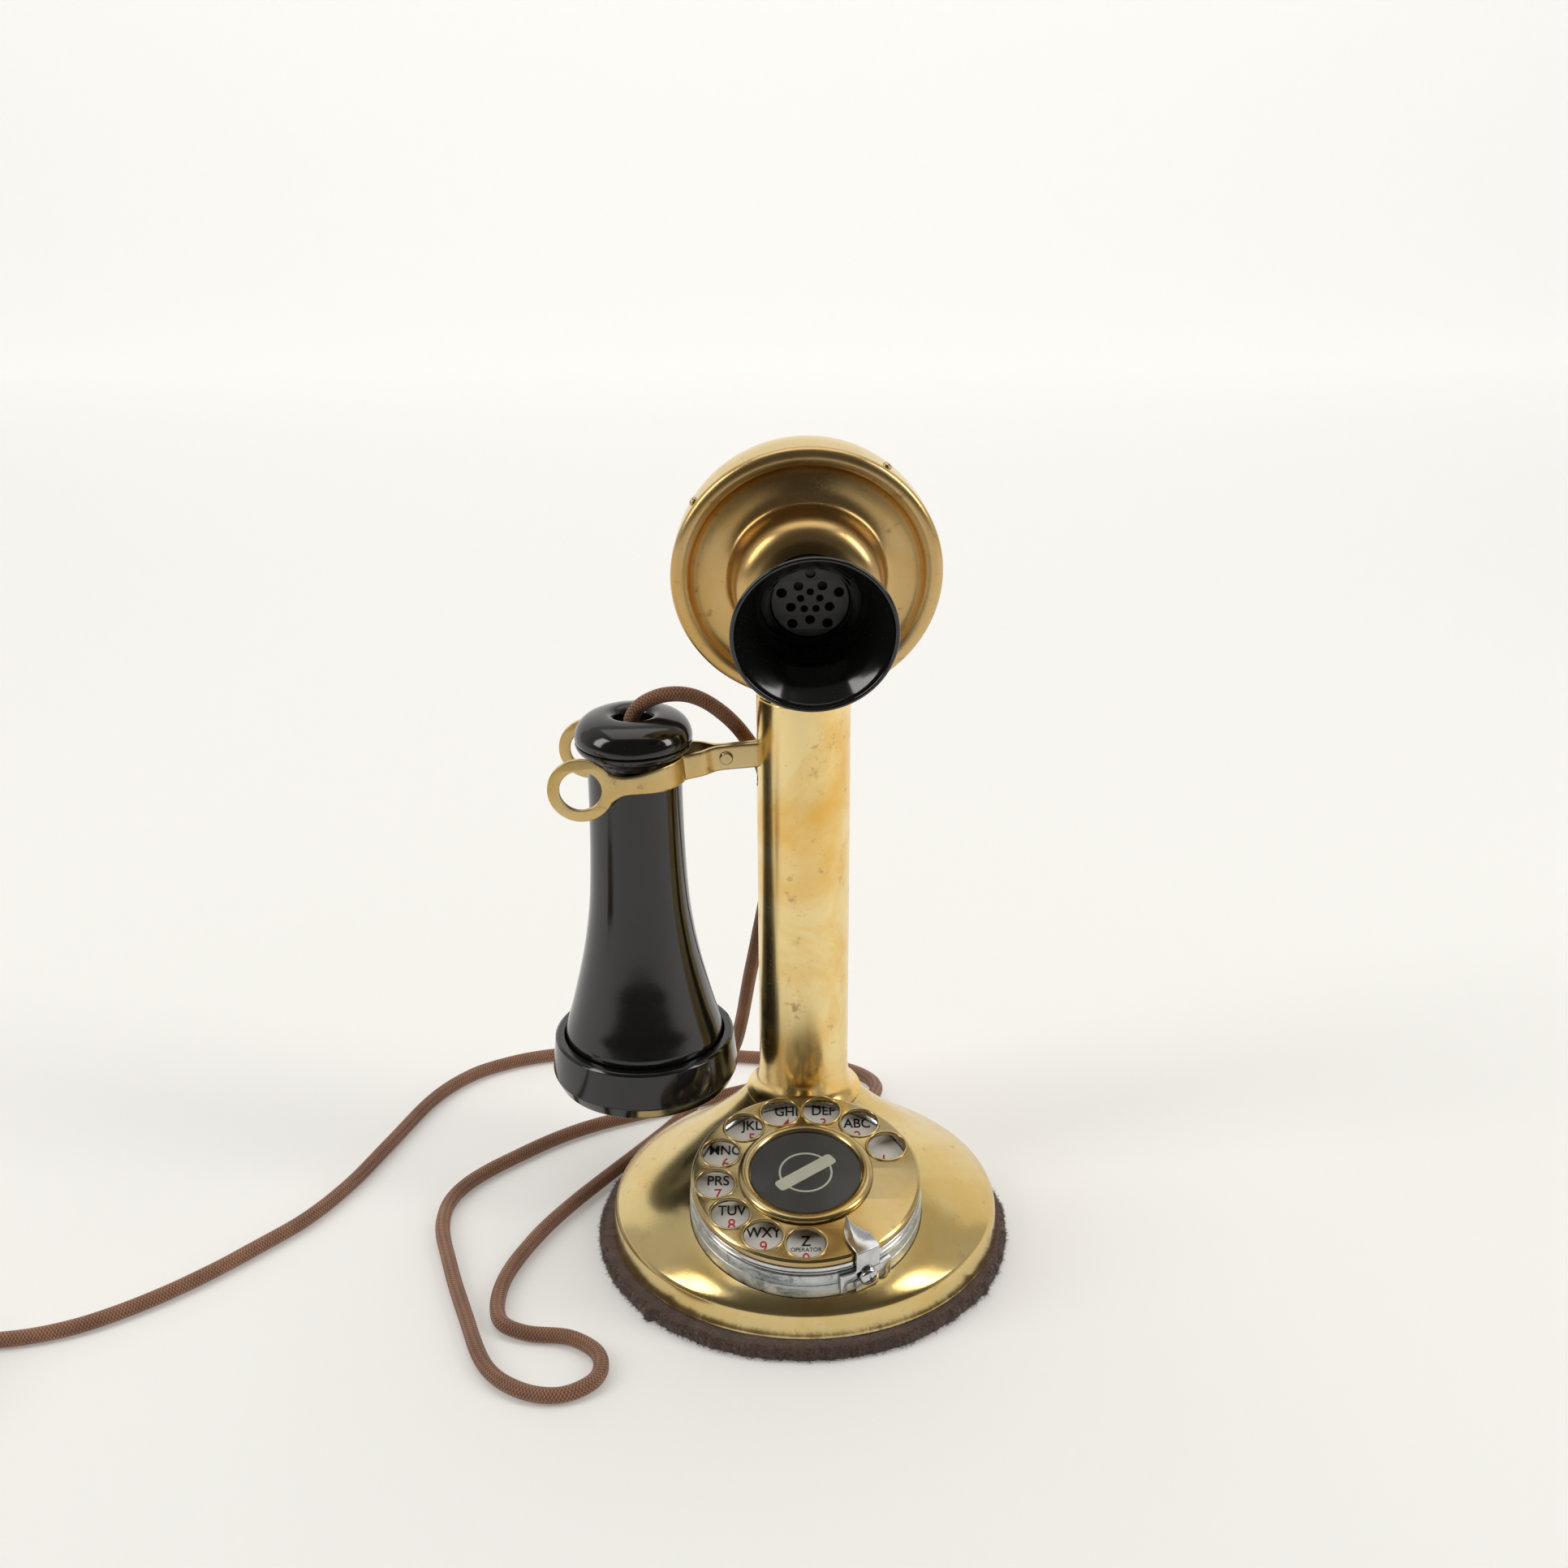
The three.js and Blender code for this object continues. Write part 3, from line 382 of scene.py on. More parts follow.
# ---------- mesh tools
def add_piece(name, mesh, body, look, replaces=(), placed=None, sharp=38):
    """Links a mesh as a named piece that rides on a body, smooth except at its edges."""
    if placed is not None:
        mesh.transform(placed)
    mesh.update()
    mesh.polygons.foreach_set("use_smooth", [True] * len(mesh.polygons))
    mesh.set_sharp_from_angle(angle=rad(sharp))
    mesh.materials.clear()
    mesh.materials.append(MADE[look])
    piece = linked(name, mesh)
    if body:
        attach(piece, body)
    if replaces:
        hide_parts(*replaces)
    return piece


def through(points, per_span=8):
    """A smooth curve through the points, each of any number of values."""
    ends = [tuple(2 * a - b for a, b in zip(points[0], points[1]))]
    tail = [tuple(2 * a - b for a, b in zip(points[-1], points[-2]))]
    chain = ends + [tuple(p) for p in points] + tail
    made = []
    for i in range(1, len(chain) - 2):
        p0, p1, p2, p3 = chain[i - 1:i + 3]
        for k in range(per_span):
            t = k / per_span
            made.append(tuple(
                0.5 * (2 * b + (c - a) * t + (2 * a - 5 * b + 4 * c - d) * t * t
                       + (3 * b - a - 3 * c + d) * t ** 3)
                for a, b, c, d in zip(p0, p1, p2, p3)))
    made.append(tuple(points[-1]))
    return made


def rounded(points, steps=5):
    """A closed outline with its corners rounded: each point is (x, y) or (x, y, radius)."""
    made = []
    count = len(points)
    for i in range(count):
        here = Vector(points[i][:2])
        radius = points[i][2] if len(points[i]) > 2 else 0
        before = Vector(points[i - 1][:2]) - here
        after = Vector(points[(i + 1) % count][:2]) - here
        if not radius or before.length < 1e-6 or after.length < 1e-6:
            made.append(tuple(here))
            continue
        half = before.angle(after, 0) / 2
        back = min(radius / max(math.tan(half), 1e-3), 0.49 * before.length, 0.49 * after.length)
        a, b = here + before.normalized() * back, here + after.normalized() * back
        for k in range(steps + 1):
            t = k / steps
            made.append(tuple(a * (1 - t) ** 2 + here * 2 * t * (1 - t) + b * t * t))
    return made


def lathe(name, profile, segments=128):
    """A turned solid about Z from a closed outline of (radius, height)."""
    verts, faces, rings = [], [], []
    for r, z in profile:
        if r < 1e-5:
            rings.append([len(verts)] * segments)
            verts.append((0, 0, z))
            continue
        rings.append([len(verts) + i for i in range(segments)])
        for i in range(segments):
            angle = 2 * pi * i / segments
            verts.append((r * cos(angle), r * sin(angle), z))
    count = len(rings)
    for k in range(count):
        low, high = rings[k], rings[(k + 1) % count]
        if low[0] == low[1] and high[0] == high[1]:
            continue
        for i in range(segments):
            j = (i + 1) % segments
            corner = [low[i], low[j], high[j], high[i]]
            face = [v for m, v in enumerate(corner) if v not in corner[:m]]
            if len(face) > 2:
                faces.append(face)
    return solid(name, verts, faces)


def baked(holder):
    """The mesh of an object with its curve or its modifiers worked out; the object goes."""
    bpy.context.view_layer.update()
    graph = bpy.context.evaluated_depsgraph_get()
    mesh = bpy.data.meshes.new_from_object(holder.evaluated_get(graph))
    bpy.data.objects.remove(holder)
    return mesh


def solid(name, verts, faces):
    mesh = bpy.data.meshes.new(name)
    mesh.from_pydata(verts, [], faces)
    fix_normals(mesh)
    return mesh


def fix_normals(mesh, merge=0.0):
    """Turns every face outward, once vertices closer than the merge distance are joined."""
    bm = bmesh.new()
    bm.from_mesh(mesh)
    if merge:
        bmesh.ops.remove_doubles(bm, verts=bm.verts, dist=merge)
    bmesh.ops.recalc_face_normals(bm, faces=bm.faces)
    bm.to_mesh(mesh)
    bm.free()


def outline_plate(name, outlines, half, bevel, resolution=3):
    """A flat plate from closed outlines, the first outside and the rest holes, with soft edges."""
    curve = bpy.data.curves.new(name, "CURVE")
    curve.dimensions = "2D"
    curve.fill_mode = "BOTH"
    curve.extrude = half - bevel
    curve.bevel_depth = bevel
    curve.bevel_resolution = resolution
    curve.offset = -bevel
    for outline in outlines:
        spline = curve.splines.new("POLY")
        spline.points.add(len(outline) - 1)
        for point, (x, y) in zip(spline.points, outline):
            point.co = (x, y, 0, 1)
        spline.use_cyclic_u = True
    mesh = baked(linked(name, curve))
    fix_normals(mesh, 1e-4)
    return mesh


def circle(x, y, radius, count=48):
    return [(x + radius * cos(2 * pi * i / count), y + radius * sin(2 * pi * i / count))
            for i in range(count)]


def joined(name, *parts):
    """One mesh from several."""
    bm = bmesh.new()
    for part in parts:
        bm.from_mesh(part)
    mesh = bpy.data.meshes.new(name)
    bm.to_mesh(mesh)
    bm.free()
    return mesh


def moved(mesh, matrix):
    mesh.transform(matrix)
    return mesh


def box_mesh(low, high, bevel=0.15):
    mesh = bpy.data.meshes.new("box")
    bm = bmesh.new()
    bmesh.ops.create_cube(bm, size=1)
    size = [b - a for a, b in zip(low, high)]
    middle = [(a + b) / 2 for a, b in zip(low, high)]
    bmesh.ops.transform(bm, matrix=Matrix.Translation(middle) @ Matrix.Diagonal((*size, 1)), verts=bm.verts)
    if bevel:
        bmesh.ops.bevel(bm, geom=bm.edges[:], offset=bevel, segments=2, profile=0.7, affect="EDGES")
    bm.to_mesh(mesh)
    bm.free()
    return mesh


def cut_away(mesh, *tools):
    """Takes the tool meshes away from a mesh."""
    holder = linked("cut", mesh)
    helpers = [linked("tool", tool) for tool in tools]
    for helper in helpers:
        modifier = holder.modifiers.new("cut", "BOOLEAN")
        modifier.operation = "DIFFERENCE"
        modifier.solver = "EXACT"
        modifier.object = helper
    made = baked(holder)
    for helper in helpers:
        bpy.data.objects.remove(helper)
    return made


def screw_head(radius, height, slots=1):
    """A domed screw head on the plane z = 0, with one slot or a cross."""
    profile = [(0, 0), (radius, 0), (radius, 0.35 * height)]
    for degrees in range(9, 91, 9):
        rise = 0.35 + 0.65 * sin(rad(degrees))
        profile.append((radius * cos(rad(degrees)), height * rise))
    head = lathe("screw", profile + [(0, height)], 40)
    width = 0.24 * radius
    deep = 0.45 * height
    reach = 1.4 * radius if slots == 1 else 0.62 * radius
    tools = [box_mesh((-reach, -width / 2, deep), (reach, width / 2, height + 1), 0)]
    if slots > 1:
        tools.append(box_mesh((-width / 2, -reach, deep), (width / 2, reach, height + 1), 0))
    return cut_away(head, *tools)


# ---------- cords
def even_path(points, step):
    """Points a step apart along the smooth curve through a cord's points."""
    fine = [Vector(p) for p in through(points, 24)]
    made, carried = [fine[0]], 0.0
    for a, b in zip(fine, fine[1:]):
        length = (b - a).length
        while carried + length >= step:
            part = (step - carried) / length
            a = a.lerp(b, part)
            length = (b - a).length
            made.append(a.copy())
            carried = 0.0
        carried += length
    if (made[-1] - fine[-1]).length > 0.3 * step:
        made.append(fine[-1])
    return made


def coil_points():
    """The wound turns: out to in on the floor, up the inner column, then back down the outer one."""
    columns = [0, 1, 1, 1, 1, 0, 0, 0]
    levels = [0, 0, 1, 2, 3, 3, 2, 1]
    per_turn = 20
    made = []
    for k in range(COIL_TURNS * per_turn + 1):
        turn, part = divmod(k / per_turn, 1)
        turn = int(turn)
        after = min(turn + 1, len(columns) - 1)
        ease = max(0.0, min(1.0, (part - 0.62) / 0.38))
        ease = ease * ease * (3 - 2 * ease)
        radius = COIL_COLUMNS[columns[turn]] * (1 - ease) + COIL_COLUMNS[columns[after]] * ease
        level = levels[turn] * (1 - ease) + levels[after] * ease
        angle = rad(90) + 2 * pi * (k / per_turn)
        made.append((COIL_CENTRE[0] + radius * cos(angle), COIL_CENTRE[1] + radius * sin(angle),
                     2.7 + COIL_LEVEL * level))
    return made


def cord_mesh(name, path):
    """A round cord with its ends closed, and a UV map that counts metres along it."""
    sides = 16
    along = [path[min(i + 1, len(path) - 1)] - path[max(i - 1, 0)] for i in range(len(path))]
    normal = along[0].orthogonal().normalized()
    verts, distance, lengths = [], 0.0, []
    for i, point in enumerate(path):
        forward = along[i].normalized()
        normal = (normal - forward * normal.dot(forward)).normalized()
        side = forward.cross(normal)
        distance += (point - path[i - 1]).length if i else 0.0
        lengths.append(distance)
        swell = 1 + 0.018 * noise.noise(Vector((distance / 9, 3.1, 0)))
        for k in range(sides):
            angle = 2 * pi * k / sides
            out = normal * cos(angle) + side * sin(angle)
            verts.append(point + out * BRAID_RADIUS * swell)
    faces, uvs = [], []
    for i in range(len(path) - 1):
        for k in range(sides):
            j = (k + 1) % sides
            faces.append((i * sides + k, i * sides + j, (i + 1) * sides + j, (i + 1) * sides + k))
            low, high = lengths[i] / 1000, lengths[i + 1] / 1000
            uvs += [(k / sides, low), ((k + 1) / sides, low), ((k + 1) / sides, high), (k / sides, high)]
    last = (len(path) - 1) * sides
    faces.append(tuple(range(sides - 1, -1, -1)))
    faces.append(tuple(range(last, last + sides)))
    uvs += [(0.5, 0)] * (2 * sides)
    mesh = bpy.data.meshes.new(name)
    mesh.from_pydata(verts, [], faces)
    layer = mesh.uv_layers.new(name="length")
    for loop, uv in zip(layer.data, uvs):
        loop.uv = uv
    mesh.transform(TO_METRES)
    return mesh


def make_receiver_cord():
    path = even_path(RECEIVER_CORD, 1.4)
    cord = add_piece("receiver_cord_braid", cord_mesh("receiver_cord_braid", path), None, "braid",
                     ["receiver_cord"], sharp=80)
    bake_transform(cord)


def make_line_cord():
    off_the_coil = [(-345.4, -97.5, 7.0), (-342.5, -108, 4.8), (-337, -117.5, 3.2)]
    path = even_path(LINE_CORD[:-1] + coil_points() + off_the_coil + CORD_TAIL[1:], 1.4)
    cord = add_piece("line_cord_braid", cord_mesh("line_cord_braid", path), "stand", "braid",
                     ["line_cord", "line_cord_coil", "line_cord_tail"], sharp=80)
    tie = coil_tie()


def coil_tie():
    """A flat cloth tie round the wound turns."""
    middle = sum(COIL_COLUMNS) / 2
    outline = rounded([(-5.9, 0.1, 2.6), (5.9, 0.1, 2.6), (5.9, 21.3, 2.6), (-5.9, 21.3, 2.6)], 6)
    inner = rounded([(-5.4, 0.5, 2.4), (5.4, 0.5, 2.4), (5.4, 20.9, 2.4), (-5.4, 20.9, 2.4)], 6)
    band = outline_plate("tie", [outline, inner], 3.0, 0.15, 2)
    place = Matrix.Translation((*COIL_CENTRE, 0)) @ Matrix.Rotation(rad(20), 4, "Z")
    band.transform(TO_METRES @ place @ Matrix.Translation((middle, 0, 0)) @ QUARTER_X)
    return add_piece("line_cord_tie", band, "stand", "braid_plain")


# ---------- base
# Each level of the dome: its radius, the centre's y, its height, and its reach to the rear.
DOME = [
    (67.75, 0, 5.4, 67.75), (67.5, 0, 6.4, 67.5), (67.2, 0, 9.4, 67.2), (66.9, 0, 12, 66.9),
    (66.4, 0, 13.8, 66.4), (65.1, 0, 15.6, 65.1), (61, 0, 18.8, 61.3), (54.6, 0, 22.4, 57.2),
    (46.6, 1, 26.2, 53.2), (38, 6.4, 29.8, 46.2), (29.4, 17, 33, 34.9), (23.4, 26, 36, 25.5),
    (20.2, 31, 38.3, 20.2),
]


def cord_hole(angle):
    """The frame of a cord's hole at the rear of the base, turned by an angle from straight back."""
    out = Matrix.Translation((0, CORD_HOLE_REACH, CORD_HOLE_HEIGHT))
    return Matrix.Rotation(-rad(angle), 4, "Z") @ out


def dial_pocket(clearance, frame_of_tool):
    """The room that the dial's case takes, as a tool in the frame of the piece to be cut."""
    radius = CASE_RADIUS + clearance
    pocket = lathe("pocket", [(0, -30), (radius, -30), (radius, 20), (0, 20)], 120)
    return moved(pocket, frame_of_tool.inverted() @ DIAL)


def base_mesh():
    """The spun dome: its levels are rounds that shift back towards the stem as they rise."""
    segments = 180
    outer = through(DOME, 6)
    inner = [(r - 1.5, y, z - 1.5, rear - 1.5) for r, y, z, rear in reversed(outer)]
    inner = [level for level in inner if level[2] > 5.6] + [(outer[0][0] - 1.5, 0, 5.4, outer[0][3] - 1.5)]
    levels = outer + inner
    verts, faces = [], []
    for radius, y, z, rear in levels:
        for i in range(segments):
            angle = 2 * pi * i / segments
            reach = rear if sin(angle) > 0 else radius
            verts.append((radius * cos(angle), y + reach * sin(angle), z))
    for k in range(len(levels)):
        for i in range(segments):
            j = (i + 1) % segments
            m = (k + 1) % len(levels)
            faces.append((k * segments + i, k * segments + j, m * segments + j, m * segments + i))
    holes = []
    for angle in CORD_HOLE_ANGLES:
        hole = lathe("hole", [(0, -6), (3.6, -6), (3.6, 6), (0, 6)], 24)
        holes.append(moved(hole, cord_hole(angle) @ QUARTER_X))
    return cut_away(solid("base_dome", verts, faces), dial_pocket(0.25, TO_METRES), *holes)


def felt_edge(angle):
    """How far the felt reaches past its round, in mm: frayed, with tufts at the front corners."""
    spot = Vector((cos(angle), sin(angle), 0.0))
    fray = 0.35 * noise.noise(spot * 5) + 0.4 * noise.noise(spot * 23) + 0.55 * noise.noise(spot * 67)
    degrees = math.degrees(angle)
    tufts = 1.5 * math.exp(-((degrees + 31) / 1.4) ** 2) + 1.8 * math.exp(-((degrees + 136) / 1.2) ** 2)
    return fray + tufts


def make_felt():
    segments = 900
    section = [(-3.2, 0.05), (-0.6, 0.05), (0.15, 0.7), (0.35, 1.9), (0.3, 3.2), (-0.25, 4.4),
               (-1.4, 5.0), (-3.2, 5.1)]
    verts, faces = [], []
    for i in range(segments):
        angle = 2 * pi * i / segments
        signed = angle if angle <= pi else angle - 2 * pi
        reach = felt_edge(signed)
        cosine, sine = cos(angle), sin(angle)
        for out, z in section:
            lump = 0.45 * noise.noise(Vector((cosine * 90, sine * 90, z * 2)))
            r = FELT_RADIUS + out + (reach + lump if out > -1 else 0)
            lift = 0.5 * noise.noise(Vector((cosine * 12, sine * 12, 5))) if z > 4 else 0
            verts.append(FELT_CENTRE + Vector((r * cosine, r * sine, max(z + lift, 0.05))))
    count = len(section)
    for i in range(segments):
        j = (i + 1) % segments
        for k in range(count - 1):
            faces.append((i * count + k, j * count + k, j * count + k + 1, i * count + k + 1))
    for k, z in ((0, 0.05), (count - 1, 5.05)):
        centre = len(verts)
        verts.append(FELT_CENTRE + Vector((0, 0, z)))
        for i in range(segments):
            faces.append((centre, i * count + k, ((i + 1) % segments) * count + k))
    mesh = solid("felt", verts, faces)
    felt = add_piece("felt", mesh, "stand", "felt", ["felt_pad"], TO_METRES, 180)
    make_fuzz()


def make_fuzz():
    """Loose wool fibres that stand out of the felt's edge."""
    pick = random.Random(7)
    verts, faces = [], []
    for _ in range(9000):
        angle = pick.uniform(-pi, pi)
        z = pick.uniform(0.3, 5.0)
        out = Vector((cos(angle), sin(angle), 0))
        side = Vector((-sin(angle), cos(angle), 0))
        r = FELT_RADIUS + felt_edge(angle) - 0.2 - (1.0 if z > 4.2 else 0)
        root = FELT_CENTRE + out * r + Vector((0, 0, z))
        length = pick.uniform(0.7, 2.1) * (1.6 if pick.random() < 0.08 else 1)
        lean = side * pick.uniform(-1, 1) + Vector((0, 0, pick.uniform(-0.5, 0.8)))
        way = (out * pick.uniform(0.3, 1) + lean * 0.9).normalized()
        bend = (side * pick.uniform(-1, 1) + Vector((0, 0, pick.uniform(-1, 0.6)))) * 0.35 * length
        middle = root + way * length * 0.55
        tip = root + way * length + bend
        middle.z, tip.z = max(middle.z, 0.1), max(tip.z, 0.1)
        width = pick.uniform(0.07, 0.14)
        across = way.orthogonal().normalized() * width
        other = way.cross(across).normalized() * width
        start = len(verts)
        for centre, scale in ((root, 1.0), (middle, 0.7)):
            verts += [centre + across * scale, centre - across * 0.5 * scale + other * 0.87 * scale,
                      centre - across * 0.5 * scale - other * 0.87 * scale]
        verts.append(tip)
        for k in range(3):
            j = (k + 1) % 3
            faces.append((start + k, start + j, start + 3 + j, start + 3 + k))
            faces.append((start + 3 + k, start + 3 + j, start + 6))
    mesh = bpy.data.meshes.new("felt_fuzz")
    mesh.from_pydata(verts, [], faces)
    add_piece("felt_fuzz", mesh, "stand", "fuzz", (), TO_METRES, 180)


def make_base():
    add_piece("base_dome", base_mesh(), "stand", "brass", ["base_shell"], TO_METRES, 30)
    make_felt()
    for cord, angle in zip(("receiver", "line"), CORD_HOLE_ANGLES):
        profile = rounded([(2.75, -4, 0.2), (3.4, -4, 0.2), (3.4, 0.3, 0.1), (4.1, 0.3, 0.3), (4.0, 2, 0.5),
                           (3.3, 2.6, 0.4), (2.75, 2.6, 0.4)])
        name = f"{cord}_bushing"
        outward = TO_METRES @ cord_hole(angle) @ QUARTER_X.inverted()
        add_piece(name, lathe(name, profile, 40), "stand", "rubber", [f"{cord}_cord_bushing"],
                  outward)


# ---------- stem
def make_stem():
    foot = 38.6
    flare = through([(20.45, foot + 0.9), (18.5, foot + 2.2), (17, foot + 4.6), (16.2, foot + 7.6),
                     (15.8, foot + 12)], 6)
    rim = [(15.8, 190.6), (15.5, 191), (14.6, 191), (14.4, 190.6)]
    bore = [(14.4, foot + 8), (16.6, foot + 1.6), (16.6, foot)]
    tube = lathe("stem", [(20.3, foot)] + flare + rim + bore, 120)
    slot_outline = rounded([(-3.0, 158, 2.9), (3.0, 158, 2.9), (3.0, 200), (-3.0, 200)], 8)
    tool = outline_plate("slot", [slot_outline], 6, 0.01, 0)
    tool.transform(Matrix.Translation((-15, -1, 0)) @ QUARTER_Z @ QUARTER_X)
    stem = cut_away(tube, tool, dial_pocket(0.5, STEM))
    add_piece("stem", stem, "stand", "brass_stem", ["stem_tube"], STEM, 30)


# ---------- dial
def make_dial():
    make_dial_case()
    make_number_plate()
    make_wheel()
    make_stop()


def make_dial_case():
    radius, bottom, top = CASE_RADIUS, CASE_BOTTOM, -6.3
    outside = [(6, bottom, 0.2), (radius, bottom, 0.3), (radius, -10.9, 0.2), (radius - 0.3, -10.6, 0.2),
               (radius - 0.3, -9.9, 0.2), (radius, -9.6, 0.2), (radius - 0.2, top, 0.5)]
    inside = [(37.2, top, 0.3), (37.2, bottom + 1.6, 0.2), (6, bottom + 1.6, 0.2)]
    case = lathe("dial_case", rounded(outside + inside), 160)
    add_piece("dial_case_turned", case, "stand", "zinc", ["dial_case"], DIAL)
    band = [(36.9, -6.0, 0.1), (38.6, -6.0, 0.3), (38.7, -5.0, 0.3), (38.2, -4.7, 0.2),
            (38.6, -4.3, 0.3), (38.4, -3.0, 0.4), (37.4, -3.0, 0.4), (36.9, -3.6, 0.2)]
    bezel = lathe("dial_bezel", rounded(band), 160)
    add_piece("dial_bezel_turned", bezel, "stand", "chrome", ["dial_bezel"], DIAL)


def text_mesh(words, size, narrow, x, y, weight=0.09):
    """Printed words centred on a place, a hair thick; the weight thickens their strokes."""
    curve = bpy.data.curves.new("words", "FONT")
    curve.body = words
    curve.size = size
    curve.align_x = "CENTER"
    curve.align_y = "CENTER"
    curve.extrude = 0.03
    curve.offset = weight
    place = Matrix.Translation((x, y, 0)) @ Matrix.Diagonal((narrow, 1, 1, 1))
    return moved(baked(linked("words", curve)), place)


def make_number_plate():
    bottom = PLATE_TOP - 1
    outline = [(5, bottom, 0.1), (36.7, bottom, 0.2), (36.7, PLATE_TOP, 0.3), (5, PLATE_TOP, 0.2)]
    plate = lathe("plate", rounded(outline), 120)
    add_piece("number_plate_enamel", plate, "stand", "enamel", ["number_plate"], DIAL)
    make_lettering()


def make_lettering():
    """The usual letters over red digits, one set under each finger hole."""
    letters = ["", "ABC", "DEF", "GHI", "JKL", "MNO", "PRS", "TUV", "WXY", "Z"]
    black, red = [], []
    for i, angle in enumerate(HOLE_ANGLES):
        turned = rad(angle - 1.5)
        x = HOLE_CIRCLE * cos(turned) + 0.8
        y = HOLE_CIRCLE * sin(turned)
        x *= min(1.0, 30.5 / math.hypot(x, y + 3.6)) if y > 0 else 1.0
        if letters[i]:
            black.append(text_mesh(letters[i], 6.2, 0.78, x, y + 4.6))
        if i == 9:
            black.append(text_mesh("OPERATOR", 2.3, 0.86, x, y + 1.1, 0.03))
        red.append(text_mesh(str((i + 1) % 10), 6.8, 0.8, x, y - (1.6 if i != 9 else 2.9), 0.05))
    above = DIAL @ Matrix.Translation((0, 0, PLATE_TOP + 0.03))
    for name, words, ink in (("dial_letters", black, "ink_black"), ("dial_digits", red, "ink_red")):
        add_piece(name, joined(name, *words), "stand", ink, (), above, 30)


def make_wheel():
    centres = [(HOLE_CIRCLE * cos(rad(a)), HOLE_CIRCLE * sin(rad(a))) for a in HOLE_ANGLES]
    holes = [circle(x, y, HOLE_RADIUS, 56) for x, y in centres]
    disc = outline_plate("wheel", [circle(0, 0, WHEEL_RADIUS - 0.8, 180), *holes], 0.65, 0.3, 3)
    disc.transform(Matrix.Translation((0, 0, -0.65)))
    skirt = [(37.2, -1.2, 0.2), (37.4, -2.6, 0.2), (WHEEL_RADIUS, -2.6, 0.3), (WHEEL_RADIUS, -0.7, 0.8),
             (37.4, -0.02, 0.3), (36.9, -0.5, 0.1)]
    edge = lathe("edge", rounded(skirt, 6), 180)
    lip = rounded([(6.35, -1.5, 0.2), (6.95, -0.4, 0.1), (7.35, -0.06, 0.2), (7.1, 0.42, 0.3),
                   (6.5, 0.5, 0.3), (6.2, -0.1, 0.3)], 4)
    rims = [moved(lathe("rim", lip, 56), Matrix.Translation((x, y, 0))) for x, y in centres]
    wheel = joined("finger_wheel", disc, edge, *rims)
    add_piece("finger_wheel_pressed", wheel, "dial_wheel", "brass_bright", ["finger_wheel"], DIAL)
    make_centre()


def make_centre():
    """The beaded ring at the wheel's centre, with its printed card and clear window."""
    bead = [(18.8, 0.3), (18.8, 1.3)]
    bead += [(20.7 + 1.9 * cos(rad(a)), 0.55 + 1.55 * sin(rad(a))) for a in range(165, -1, -11)]
    bead += [(22.6, 0.3)]
    ring = lathe("centre_bead", bead, 140)
    add_piece("centre_bead", ring, "dial_wheel", "brass_bright", ["centre_ring"], DIAL, 50)
    card = lathe("card", rounded([(0, 0.3), (18.5, 0.3, 0.1), (18.5, 0.7, 0.1), (0, 0.7)]), 100)
    add_piece("card_printed", card, "dial_wheel", "card", ["number_card"], DIAL)
    make_emblem()
    window = lathe("window", rounded([(0, 1.0), (18.5, 1.0, 0.1), (18.5, 1.5, 0.1), (0, 1.5)]), 100)
    add_piece("window_clear", window, "dial_wheel", "clear", ["card_window"], DIAL)


def make_emblem():
    """A plain printed mark: a thin ring and a broad slanting bar."""
    ring = outline_plate("ring", [circle(0, 0, 9.0, 90), circle(0, 0, 8.3, 90)], 0.02, 0.001, 0)
    corners = [(-11.5, -2.4, 1.6), (11.5, -2.4, 1.6), (11.5, 2.4, 1.6), (-11.5, 2.4, 1.6)]
    bar = outline_plate("bar", [rounded(corners)], 0.025, 0.001, 0)
    bar.transform(Matrix.Rotation(rad(36), 4, "Z"))
    on_card = DIAL @ Matrix.Translation((0, 0, 0.73))
    emblem = joined("emblem", ring, bar)
    add_piece("card_emblem", emblem, "dial_wheel", "ink_cream", (), on_card)


def make_stop():
    """The finger stop in its own frame, with X out of the dial and Z up, turned to its place."""
    side = DIAL @ Matrix.Rotation(rad(STOP_ANGLE), 4, "Z")
    tip = through([(23.6, 1.6), (27.5, 1.5), (31, 2.6), (34.2, 4.4)], 6)
    back = through([(35.2, -3.9), (32, -3.6), (28.6, -2.2), (25.6, 0.2), (23.6, 1.6)], 6)[:-1]
    arm = outline_plate("arm", [tip + [(40.3, 4.4), (40.3, -3.9)] + back], 0.5, 0.18, 2)
    arm.transform(Matrix.Translation((0, 0, 1.5)))
    stop = joined("finger_stop", arm, stop_plate())
    add_piece("finger_stop_bent", stop, "stand", "chrome", ["finger_stop"], side)
    outward = Matrix.Translation((40.6, 0, -9.3)) @ QUARTER_Y
    head = moved(screw_head(3.2, 2.2, 2), outward @ Matrix.Rotation(rad(20), 4, "Z"))
    shank = moved(lathe("shank", [(0, -3), (1.5, -3), (1.5, 0.1), (0, 0.1)], 20), outward)
    screw = joined("stop_screw", head, shank)
    add_piece("stop_screw", screw, "stand", "steel_bright", ["finger_stop_screw"], side)


